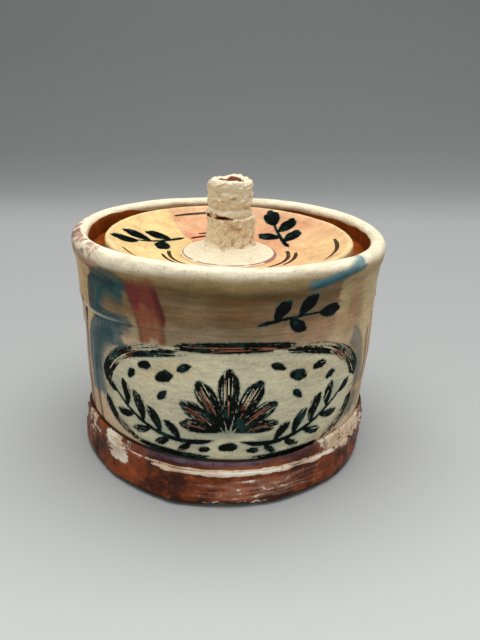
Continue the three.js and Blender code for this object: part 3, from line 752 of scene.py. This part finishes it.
def painted_finish(name, gloss, speck_size=0.9, streak=5.0):
    """Slip under coloured washes and black brushwork, scratched through here and there, and a clear glaze."""
    material, tree, skin, grain = finish_of(name, speck_size, streak, Coat_Roughness=0.15)
    brush, cloud, grit = grain["Brush"], grain["Cloud"], noise(tree, 1100.0, 3.0, 0.7)
    marks = node(tree, "Group", {"node_tree": INK_MARKS})
    tint = kept(tree, "wash", "Color")
    for uneven, darker, lighter in ((brush, 0.85, 1.1), (cloud, 0.9, 1.08), (grit, 0.91, 1.07)):
        tint = shade(tint, between(uneven, 0.3, 0.7, darker, lighter))
    tint = mix(between(brush, 0.64, 0.78, 0.0, 0.16), tint, colour(222, 204, 172))
    cream = mix(cloud, colour(222, 196, 164), SLIP_CREAM)
    tint = mix(between(kept(tree, "cream") + brush * 0.5, 0.62, 0.9), tint, cream)
    tint = mix(marks["Thin"] * 0.66, tint, colour(58, 98, 90))
    black = mix(between(noise(tree, 250.0), 0.52, 0.74), colour(9, 13, 11), colour(27, 58, 52))
    tint = mix(marks["Ink"], tint, black)
    clay = mix(between(cloud, 0.45, 0.55), colour(150, 92, 66), colour(226, 206, 172))
    tint = mix(marks["Scratch"], tint, clay)
    tint = mix(grain["Specks"] * between(marks["Ink"], 0.0, 0.4, 0.5, 0.0), tint, colour(92, 60, 42))
    rubbed = mix(between(cloud, 0.4, 0.6), colour(128, 80, 68), colour(186, 150, 126))
    tint = mix(between(ragged(tree, "worn", grain), 0.38, 0.66, 0.0, 0.88), tint, rubbed)
    bare = between(kept(tree, "bare") + (brush - 0.5) * 0.7, 0.47, 0.55)
    amber = mix(between(cloud, 0.35, 0.66), colour(112, 56, 20), INNER_AMBER)
    dress(skin, Base_Color=mix(bare, tint, amber), Roughness=between(cloud, 0.3, 0.7, 0.38, 0.52),
          Coat_Weight=between(maths("MAXIMUM", marks["Ink"], bare), 0.0, 1.0, gloss, 0.4 * gloss),
          Normal=bumped(marks["Ink"] * 0.35 + grain["Height"] - marks["Scratch"] * 0.8, 0.13))
    return material


lower_wall.data.materials.append(painted_finish("painted wall", 0.3))
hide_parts("lower_wall")
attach(lower_wall, "pot")

# The collar: a second strip that laps over the wall. Its lower edge was left as a raised lip at the
# left and smoothed away elsewhere, and its upper edge is rolled into a thick cream lip.
RIM_RADIUS, LIP_THICKNESS, LAP_BOTTOM = 57.5, 5.9, RIDGE - 0.1
COLLAR_INSIDE, LIP_HALF = RIM_RADIUS - LIP_THICKNESS, LIP_THICKNESS / 2
LIP_BASE = RIM_HEIGHT - LIP_HALF


def collar_work(angle, radius, height):
    """The pot's shape, with the lapped edge feathered flush with the wall except at the left."""
    lapped = at(angle, -62, 40) + 0.55 * at(angle, 150, 60)
    feather = (1 - lapped) * (1 - ease(height, RIDGE, RIDGE + 9)) * ease(radius, 54.2, 55.3)
    return pot_work(angle, radius - 1.02 * feather * (radius - WALL_OUTSIDE) / 1.1, height)


def collar_relief(angle, radius, height, place):
    """The wall's dents and ribs, carried on up, and a lip thumbed a little uneven."""
    dents, ribs = hand_dents(place)
    lip = ease(height, LIP_BASE - 3, RIM_HEIGHT)
    thumbed = 0.2 * lumps(place, (15, 15, 9), 23) + 0.04 * lumps(place, (6, 6, 3), 24) - 0.1
    return ease(radius, 54.0, 54.8) * (0.18 * dents + 0.06 * ribs - 0.08) + thumbed * lip


lip_middle = np.array((RIM_RADIUS - LIP_HALF, LIP_BASE))
rolled_lip = [lip_middle + LIP_HALF * np.array((math.cos(turn), math.sin(turn)))
              for turn in np.linspace(0, math.pi, 21)[1:]]
collar_outside = profile(
    (WALL_INSIDE, 69.1), (1.4, (54.5, 65.0)), (0.25, (54.75, LAP_BOTTOM)), (0.35, (55.5, LAP_BOTTOM)),
    (0.3, (55.8, 64.8), (55.8, 65.6)), (0.5, (56.5, LIP_BASE - 5)),
    (0.5, (RIM_RADIUS, LIP_BASE - 3), (RIM_RADIUS, LIP_BASE)))
collar_inside = profile(rolled_lip[-1], (0.8, (COLLAR_INSIDE, 76.5)), (2.5, (COLLAR_INSIDE, LEDGE_BOTTOM)),
                        (2.5, (WALL_INSIDE, 69.1)))
collar = thrown("collar", collar_outside + rolled_lip + collar_inside[1:])
angle, radius, height, place = work(collar, collar_work, collar_relief)
flat = flat_of(place)
paint(collar, flat, strokes)
tint = pot_ground(flat, place)
# the cream lip: its lower edge wanders and blends through olive into the band
edge = 82.8 - 1.2 * at(angle, -46, 34) - 0.5 * at(angle, 60, 35) + 0.45 * lumps(place, 9, 41)
rise = height + 0.3 * lumps(place, (9, 9, 0.7), 42)
olive = ease(rise, edge - 5.0, edge - 1.4) * at(angle, 0, 70) * ease(radius, 54.0, 55.0)
uneven = 1 + 0.04 * lumps(place, 8, 43) + 0.03 * lumps(place, (6, 6, 1.0), 48)
cream = np.array(colour(250, 238, 208)[:3]) * uneven[:, None]
tint = lay(tint, 0.5 * olive, colour(150, 126, 66))
tint = lay(tint, ease(rise, edge - 1.5, edge + 0.7) * ease(radius, 50.0, 51.4), cream)
# the raised edge of the lapped joint at the left gets a cream line, a painted highlight, and two teal strokes
# cross the lip
lapped = at(angle, -64, 30) * (1 - ease(height, RIDGE + 0.2, RIDGE + 1.6)) * ease(radius, 55.0, 55.4)
tint = lay(tint, 0.8 * lapped, cream)
for stroke in (((26, 80.0), (37, 82.0), (49, 83.6), 3.4, (0.5, 1.2), 0.92, colour(46, 126, 140)),
               ((25, 79.2), (34, 80.8), (45, 81.8), 1.6, (0.5, 0.8), 0.7, colour(24, 84, 92))):
    tint = washed(flat, tint, [stroke], place)
keep(collar, "wash", tint)
# a worn, speckled patch at the far left, down to the purplish clay
patch = at(angle, -76, 48) * ease(height, 77.5, 80.5) * ease(radius, 53.0, 54.6)
keep(collar, "worn", patch * (0.66 + 0.42 * lumps(place, (2.6, 2.6, 1.5), 44)))
# the amber glaze inside, which climbs and falls under the lip
climb = 1.7 * at(angle, -108, 36) - 1.5 * at(angle, -165, 46) + 1.2 * at(angle, 80, 45)
below_lip = ease(81.4 + climb + 0.5 * lumps(place, 5, 46) - height, -0.5, 0.7)
inner_side = ease(RIM_RADIUS - LIP_HALF - radius + 0.5 * climb, 0.8, 2.6) * below_lip
keep(collar, "bare", np.maximum(inner_side, (height < 75) & (radius < 53)))
collar.data.materials.append(painted_finish("painted collar", 0.3))
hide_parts("collar")
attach(collar, "pot")

# The gallery: a flat ledge luted inside the collar to carry the lid. It has no slip, only amber glaze.
# The lid hides most of it.
LEDGE_RADIUS, LEDGE_OUTSIDE = 41.5, 51.5


def ledge_relief(angle, radius, height, place):
    """Low lumps from the fingers."""
    return 0.12 * lumps(place, 5, 51) * ease(radius, LEDGE_RADIUS, 43)


gallery_ledge = thrown("gallery_ledge", profile(
    (LEDGE_OUTSIDE, LEDGE_BOTTOM), (3, (LEDGE_OUTSIDE, 76.9)), (0.4, (51.3, LEDGE_TOP), (50.9, LEDGE_TOP)),
    (0.8, (42.2, LEDGE_TOP)), (0.3, (LEDGE_RADIUS, LEDGE_TOP), (LEDGE_RADIUS, 76.5)),
    (1, (LEDGE_RADIUS, 73.8)), (1.5, (42.5, 72.8), (LEDGE_OUTSIDE, LEDGE_BOTTOM))), steps=320)
angle, radius, height, place = work(gallery_ledge, pot_work, ledge_relief)


def amber_finish():
    """Amber brown glaze over red clay, paler where it was brushed thin."""
    material, tree, skin, grain = finish_of("amber glaze", 1.8, 3.0, Coat_Weight=0.35, Coat_Roughness=0.07)
    amber = mix(between(grain["Cloud"], 0.35, 0.66), colour(104, 46, 14), INNER_AMBER)
    amber = mix(between(grain["Brush"], 0.55, 0.75, 0.0, 0.5), amber, colour(176, 104, 50))
    dress(skin, Base_Color=mix(grain["Specks"] * 0.6, amber, colour(52, 26, 12)),
          Roughness=between(grain["Cloud"], 0.3, 0.7, 0.25, 0.42), Normal=bumped(grain["Height"], 0.16))
    return material


gallery_ledge.data.materials.append(amber_finish())
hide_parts("gallery_ledge")
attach(gallery_ledge, "pot")

# The lid: a shallow dish of clay with a turned shoulder below. Its top is washed in yellow, pink and
# peach, with thin rings and three leaf sprigs set evenly round it.
LID_RADIUS, LID_EDGE, LID_ROUND, SHOULDER_RADIUS = 46.2, 82.2, 1.5, 40.2
DISH_TOP, DISH_UNDER = 74.5, 69.5


def lid_work(angle, radius, height):
    """The lid is a little oval."""
    return radius + 0.3 * ease(radius, 18.2, LID_RADIUS) * np.cos(2 * angle + 1.9), height


def lid_relief(angle, radius, height, place):
    """Slow dents and fine lumps in the top."""
    top = ease(height, 73.5, 74.8) * ease(radius, 17, 20)
    return top * (0.16 * lumps(place, 9, 61) + 0.05 * lumps(place, 2.5, 62) - 0.05)


lid_dish = thrown("lid_dish", profile(
    (0, DISH_UNDER), (8, (17.2, DISH_UNDER)), (4, (28.7, 71.1), (SHOULDER_RADIUS, 76.0)),
    (0.6, (SHOULDER_RADIUS, LEDGE_TOP)), (1.5, (LID_RADIUS - LID_ROUND, LEDGE_TOP)),
    (0.3, (LID_RADIUS, LEDGE_TOP), (LID_RADIUS, LEDGE_TOP + LID_ROUND)),
    (0.4, (LID_RADIUS, LID_EDGE - LID_ROUND)),
    (0.2, (LID_RADIUS, LID_EDGE), (LID_RADIUS - LID_ROUND, LID_EDGE)),
    (0.38, (32.7, 76.1), (19.2, DISH_TOP)), (0.6, (17.6, DISH_TOP)), (6, (0, DISH_TOP))))
angle, radius, height, place = work(lid_dish, lid_work, lid_relief)


def on_lid(degrees, ring):
    """The point so many degrees round the lid, on a ring of this radius."""
    return ring * math.cos(math.radians(degrees)), ring * math.sin(math.radians(degrees))


# three sprigs of rounded leaves, and thin broken rings: at each side of the pad, and near the edge
lid_strokes, lid_lines = [], []
for turn in (166, 286, 46):
    stem = (on_lid(turn - 28, 24.5), on_lid(turn - 6, 27), on_lid(turn + 12, 35.5))
    lid_strokes.append(("sweep", *stem, 1.9, 0.12))
    for t, side, length, width in ((0.3, -1, 9.2, 6.0), (0.5, 1, 8.8, 5.8), (0.72, -1, 9.8, 6.2)):
        add_leaf(lid_strokes, stem, t, side, length, width, 0.85, 0.08)
    add_leaf(lid_strokes, stem, 0.95, 0, 10.0, 6.6, 0.0, 0.06)
for first, last, ring, width in (
        (184, 244, 22.6, 3.0), (196, 236, 25.4, 2.0), (70, 130, 22.8, 2.9), (84, 118, 25.6, 2.0),
        (310, 366, 22.6, 3.0), (322, 358, 25.4, 2.0), (84, 124, 40.4, 1.9), (204, 242, 40.6, 1.9),
        (326, 364, 40.4, 1.9)):
    bow = ring / math.cos(math.radians(last - first) / 2)
    lid_lines.append((on_lid(first, ring), on_lid((first + last) / 2, bow), on_lid(last, ring), width))
# the underside is moved far off the drawing, so that only the top is painted
under = (height <= 74.2) | (radius <= 17) | ((height < 77.3) & (radius > 39))
flat = place[:, :2] + np.where(under, 500.0, 0.0)[:, None]
paint(lid_dish, flat, lid_strokes)
draw(lid_dish, flat, "lines", lid_lines)
yellow = ease(-0.9 * place[:, 0] - 0.42 * place[:, 1] - 8.5 + 0.9 * lumps(place, 6, 63), -0.35, 0.4)
pink = ease(place[:, 1] - 0.35 * place[:, 0] + 3 * lumps(place, 12, 65), -6, 9)
rings = lumps(np.stack((radius, angle * 4, height * 0), 1), (1.6, 5, 1), 66)
fine_rings = lumps(np.stack((radius, angle * 6, height * 0), 1), (0.6, 5, 1), 67)
blush = 0.7 * lumps(place, (8, 8, 40), 64) + 0.5 * rings + 0.9 * (1 - ease(radius, 22, 34))
rosy = 0.74 * ease(blush, -0.1, 0.9) * ease(radius, 44, 38) * (1 - 0.8 * yellow) * (0.3 + 0.7 * pink)
dusk = ease(rings + 0.6 * fine_rings, 0.2, 1.1) * bump_at(angle, 0.5, 1.3)
dusk *= ease(radius, 30, 36) * ease(radius, 45, 42)
tint = np.tile(colour(230, 190, 138)[:3], (len(place), 1))
for amount, tone in ((0.75 * pink, colour(224, 172, 134)), (rosy, colour(216, 146, 112)),
                     (0.95 * yellow, colour(238, 204, 142)), (0.25 * dusk, colour(160, 104, 84))):
    tint = lay(tint, amount, tone)
tint *= 1 + (0.06 * rings + 0.06 * fine_rings)[:, None]
keep(lid_dish, "wash", lay(tint, 0.6 * ease(radius, 43.4, 45.0), colour(244, 220, 166)))
below_edge = np.where((radius > 39) & (height < 78.6), ease(-height, -79.4, -78.0), 0.0)
keep(lid_dish, "bare", below_edge + (height < 74.0))
lid_dish.data.materials.append(painted_finish("painted lid", 0.24, 0.8, 1.0))
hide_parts("lid_dish")
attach(lid_dish, "lid")

# The knob's pad: a low mound of clay luted on the lid, brushed with cream slip, with a thin plum ring
# painted where it meets the lid.
PAD_RADIUS, PAD_SEAT, PAD_TOP, STEM_RADIUS, KNOB_STEPS = 18.2, 74.6, 79.6, 8.9, 384


def pad_relief(angle, radius, height, place):
    """Ripples from the turning brush, and small dents."""
    ripple = 0.07 * np.sin(radius * 3.1 + 0.8 * lumps(place, 6, 71))
    ripple += 0.04 * np.sin(radius * 7.3 + lumps(place, 5, 76))
    dents = 0.12 * lumps(place, 4, 72) + 0.05 * lumps(place, 1, 73)
    return ease(radius, 9, 11) * (ripple + dents) * ease(height, DISH_TOP, 75.1)


knob_pad = thrown("knob_pad", profile(
    (0, PAD_SEAT), (4, (17.9, PAD_SEAT - 0.05)), (0.2, (PAD_RADIUS, PAD_SEAT)), (0.2, (17.5, 75.0)),
    (0.3, (13.2, 76.3), (9.6, 78.6)), (0.4, (STEM_RADIUS, PAD_TOP)), (4, (0, PAD_TOP))), KNOB_STEPS)
angle, radius, height, place = work(knob_pad, lid_work, pad_relief)
ring = ease(radius, 16.9, 17.25) * (1 - ease(radius, 17.6, 17.9) * (1 - bump_at(angle, 0.0, 1.6)))
keep(knob_pad, "plum", ring * (0.68 + 0.3 * bump_at(angle, 0.0, 1.5) + 0.3 * lumps(place, 3, 74)))
keep(knob_pad, "stained", 0.2 * ease(0.5 + 0.5 * lumps(place, 4, 75), 0.5, 0.9) + 0.16 * ease(radius, 11, 9.4)
     + 0.16 * np.sin(radius * 7.3 + lumps(place, 5, 76)) * ease(radius, 11, 13))


def knob_finish():
    """Rough cream slip, browner where it is thin, with dark pits and open cracks down to red clay."""
    material, tree, skin, grain = finish_of("rough cream slip", 0.9, 1.6, Roughness=0.6, Coat_Weight=0.16,
                                            Coat_Roughness=0.25)
    crust, cloud, brush = noise(tree, 620.0, 5.0, 0.66), grain["Cloud"], grain["Brush"] - 0.5
    thin = kept(tree, "stained") + brush * 1.1 - (crust - 0.5) * 1.3
    slip = mix(cloud, colour(238, 220, 184), colour(250, 240, 214))
    slip = mix(between(thin, 0.15, 0.85), slip, colour(176, 132, 86))
    slip = mix(grain["Specks"] * 0.36, slip, colour(128, 88, 58))
    slip = mix(grain["Pits"] * 0.5, slip, colour(110, 72, 46))
    slip = mix(between(kept(tree, "plum") + brush * 0.8, 0.42, 0.66, 0.0, 0.8), slip, colour(140, 66, 64))
    clay = mix(cloud, colour(112, 58, 38), colour(176, 112, 84))
    dress(skin, Base_Color=mix(between(kept(tree, "open") + brush * 0.6, 0.45, 0.56), slip, clay),
          Normal=bumped(grain["Height"] + crust * 1.6, 0.42))
    return material


CREAM_KNOB = knob_finish()
knob_pad.data.materials.append(CREAM_KNOB)
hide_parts("knob_pad")
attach(knob_pad, "lid")

# The knob's stem: a short drum of stiff clay stood on the pad, pinched in a little and paddled into
# many shallow flats. Its slip is thin and full of pits.
STEM_FOOT, STEM_TOP, CAP_SEAT = 78.6, 89.3, 6.4
FRONT_GAP, LEFT_GAP = -1.9, -2.76


def paddled(angle, radius, height):
    """Shallow flats round the side of a drum, from the paddle."""
    flats = 0.6 * np.cos(7 * angle + 1) + 0.4 * np.cos(4 * angle)
    return radius + 0.34 * ease(radius, CAP_SEAT, CAP_SEAT + 1) * flats, height


def rough(place, seed):
    """Torn, pitted skin of stiff clay: lumps, fine grit and sharp little pits."""
    pits = ease(lumps(place, 1.3, seed + 3), 0.35, 0.75) + 0.6 * ease(lumps(place, 0.7, seed + 4), 0.4, 0.8)
    fine = 0.22 * lumps(place, 1.3, seed + 1) + 0.14 * lumps(place, 0.6, seed + 2)
    return 0.26 * lumps(place, 3.0, seed) + fine - 0.32 * pits


def stem_relief(angle, radius, height, place):
    """The side alone is torn, and its ends are smooth where they were stuck."""
    return 1.2 * ease(radius, 7.4, 8.3) * rough(place, 81)


knob_stem = thrown("knob_stem", profile(
    (0, STEM_FOOT), (4, (9.1, STEM_FOOT)), (0.25, (8.95, 80.1)), (0.25, (8.4, 84.3), (STEM_RADIUS, 88.7)),
    (0.22, (STEM_RADIUS, STEM_TOP), (8.3, STEM_TOP)), (0.5, (6, STEM_TOP)), (4, (0, STEM_TOP))), KNOB_STEPS)
angle, radius, height, place = work(knob_stem, paddled, stem_relief, shift=0.4)
specks = ease(lumps(place, 1.2, 85), 0.0, 0.5)
keep(knob_stem, "plum", 0.5 * at(angle, 12, 10) * ease(height, 81, 79) * specks)
gaps = bump_at(angle, FRONT_GAP, 0.75) + bump_at(angle, LEFT_GAP, 0.4)
keep(knob_stem, "open", 0.9 * ease(height, 89.0, 89.25) * gaps)
side = 0.34 * at(angle, 40, 90) * (0.5 + 0.5 * lumps(place, 2.5, 86))
keep(knob_stem, "stained", 0.14 + side + 0.3 * lumps(place, 1.5, 87))
knob_stem.data.materials.append(CREAM_KNOB)
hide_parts("knob_stem")
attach(knob_stem, "lid")

# The knob's cap: a second drum stuck on the stem, with a flared lower lip. Its joint dried open at the
# front and the left, and a thumb hollowed its top down to the red clay.
CAP_RADIUS, CAP_TOP, CAP_UNDER, HOLLOW_FLOOR = 7.9, 102.5, 89.65, 99.1


def cap_work(angle, radius, height):
    """The paddled drum, with an uneven top and its joint open at the front and left and merged elsewhere."""
    top = ease(height, CAP_TOP - 3.4, CAP_TOP) * (np.cos(2 * angle - 2.4) + 0.5 * np.cos(5 * angle))
    near_seam = 1 - ease(height, STEM_TOP, STEM_TOP + 1.6)
    opening = bump_at(angle, FRONT_GAP, 0.55) + 1.2 * bump_at(angle, LEFT_GAP, 0.24)
    crack = (0.75 * opening - 0.5 * (1 - np.clip(opening, 0, 1))) * near_seam * ease(radius, CAP_SEAT, 8.5)
    merged = 0.6 * bump_at(angle, 0.1, 1.9) * (1 - ease(height, 90.6, 92.6)) * ease(radius, 7.6, 8.6)
    return paddled(angle, radius, height)[0] - merged, height + 0.45 * top * ease(radius, 0, 4.3) + crack


def cap_relief(angle, radius, height, place):
    """A skin dragged round and down by the fingers, torn at the top."""
    along_drag = np.stack((angle * 8 + 0.55 * height, radius, height * 1.5 - angle * 4), 1)
    drag = 0.42 * ease(lumps(along_drag, (3.4, 9, 0.9), 91), 0.0, 0.7)
    drag -= 0.2 * ease(lumps(along_drag, (2.6, 9, 0.6), 99), 0.2, 0.8)
    torn = 0.34 * ease(height, 100.5, CAP_TOP) * lumps(place, 1.8, 92)
    side = ease(radius, 5.4, 6.6) * ease(height, 89.6, 90.2)
    return side * (rough(place, 93) * 0.7 + drag * ease(height, 92, 94)) + torn


knob_cap = thrown("knob_cap", profile(
    (0, STEM_TOP), (3, (6.0, STEM_TOP)), (0.3, (CAP_SEAT, STEM_TOP)), (0.2, (6.6, CAP_UNDER)),
    (0.25, (8.1, CAP_UNDER)), (0.2, (8.9, 91.1), (7.4, 92.5)), (0.2, (CAP_RADIUS, 93.9)),
    (0.22, (CAP_RADIUS, 100.5)), (0.2, (CAP_RADIUS, CAP_TOP), (6.1, CAP_TOP)),
    (0.2, (4.3, CAP_TOP), (3.8, 100.1)), (0.3, (2.8, HOLLOW_FLOOR)), (1, (0, HOLLOW_FLOOR))), KNOB_STEPS)
angle, radius, height, place = work(knob_cap, cap_work, cap_relief, shift=-0.2)
hollow = ease(5.2 - radius + 0.5 * lumps(place, 1.5, 97), 0.0, 0.7) * ease(height, 98, 98.8)
gaps = bump_at(angle, FRONT_GAP, 0.6) + bump_at(angle, LEFT_GAP, 0.3)
seam = (1 - ease(height, 89.7, 90.0)) * ease(radius, 5.5, 6) * gaps
keep(knob_cap, "open", np.maximum(hollow, seam))
keep(knob_cap, "stained", 0.1 + 0.2 * (1 - ease(height, 90.3, 91.6)) - 0.3 * ease(height, 99.5, 101.5)
     + 0.4 * ease(lumps(place, (2, 2, 1), 98), 0.2, 0.8))
knob_cap.data.materials.append(CREAM_KNOB)
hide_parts("knob_cap")
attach(knob_cap, "lid")

# The studio, in metres: a seamless sheet of pale grey card, which lies flat under the jar and rises
# behind it. One wide soft box lights it from above and a little behind, under a weak grey sky.
CARD_WIDTH, BEND_START, BEND_RADIUS = 4.4, 0.42, 0.5
# the card grows darker from the front towards the top of the backdrop: painted shade for the light falling
# off
CARD_GREYS_AND_SHADE = ((0.0, 200), (0.1, 192), (0.16, 180), (0.22, 175), (0.33, 169), (0.44, 166), (0.53, 164),
              (0.6, 152), (0.66, 136), (0.72, 124), (0.8, 114), (1.0, 106))
LAMP_BACK, LAMP_HEIGHT = 0.08, 1.25
sheet = bmesh.new()
bend = [(BEND_START + BEND_RADIUS * math.sin(turn), BEND_RADIUS * (1 - math.cos(turn)))
        for turn in np.linspace(0.1, 1.5, 12)]
card_line = [(-1.6, 0.0), (BEND_START, 0.0), *bend, (0.93, 1.8)]
verts = [sheet.verts.new((-CARD_WIDTH / 2, y, z)) for y, z in card_line]
edges = [sheet.edges.new(pair) for pair in zip(verts, verts[1:])]
swept = bmesh.ops.extrude_edge_only(sheet, edges=edges)["geom"]
swept = [part for part in swept if isinstance(part, bmesh.types.BMVert)]
bmesh.ops.translate(sheet, verts=swept, vec=(CARD_WIDTH, 0, 0))
bmesh.ops.recalc_face_normals(sheet, faces=sheet.faces)
grey_card = object_of(sheet, "grey_card")
card, tree, skin = new_material("grey card", Roughness=0.7, Specular_IOR_Level=0.1)
place_on_card = node(tree, "SeparateXYZ", Vector=node(tree, "TexCoord")["Object"])
# the greys are slanted across the card, darker to the left: painted shade for the light falling off to that
# side
along_card = place_on_card[1] - place_on_card[0] * 0.12
back = node(tree, "MapRange", Value=along_card, From_Min=-0.2, From_Max=0.8)[0]
greys = node(tree, "ValToRGB", Fac=back)["Color"]
stops = greys.socket.node.color_ramp.elements
for way, grey in CARD_GREYS_AND_SHADE:
    stop = stops[0] if way == 0 else stops[-1] if way == 1 else stops.new(way)
    stop.color = colour(grey - 1, grey + 1, grey)
dress(skin, Base_Color=greys)
grey_card.data.materials.append(card)

soft_box = bpy.data.lights.new("soft box", "AREA")
soft_box.shape, soft_box.size, soft_box.size_y, soft_box.energy = "RECTANGLE", 1.4, 1.3, 20.0
lamp = bpy.data.objects.new("soft box", soft_box)
lamp.matrix_world = (Matrix.Translation((0.04, LAMP_BACK, LAMP_HEIGHT))
                     @ Matrix.Rotation(-math.atan2(LAMP_BACK, LAMP_HEIGHT), 4, "X"))
bpy.context.collection.objects.link(lamp)

sky = bpy.data.worlds.new("grey sky")
sky.use_nodes = True
dress(sky.node_tree.nodes["Background"].inputs, Color=(1, 1, 1, 1), Strength=0.4)
bpy.context.scene.world = sky
bpy.context.scene.view_settings.view_transform = "Standard"

# The camera stands close in front of the jar and looks down on it, as the photograph was taken. Its
# place, tilt and lens were fitted to the outlines of the rim, the lid, the knob and the foot.
FRAME_HEIGHT, FOCAL_PIXELS = 640, 650
TURN, TILT, ROLL = math.radians(-1.244), math.radians(90 - 22.812), math.radians(1.944)
lens = bpy.data.cameras.new("camera")
lens.sensor_width, lens.lens = 36.0, 36.0 * FOCAL_PIXELS / FRAME_HEIGHT
lens.clip_start = 0.01
camera = bpy.data.objects.new("camera", lens)
camera.matrix_world = (Matrix.Translation((0, -0.2377, 0.1469)) @ Matrix.Rotation(TURN, 4, "Z")
                       @ Matrix.Rotation(TILT, 4, "X") @ Matrix.Rotation(ROLL, 4, "Z"))
bpy.context.collection.objects.link(camera)
bpy.context.scene.camera = camera
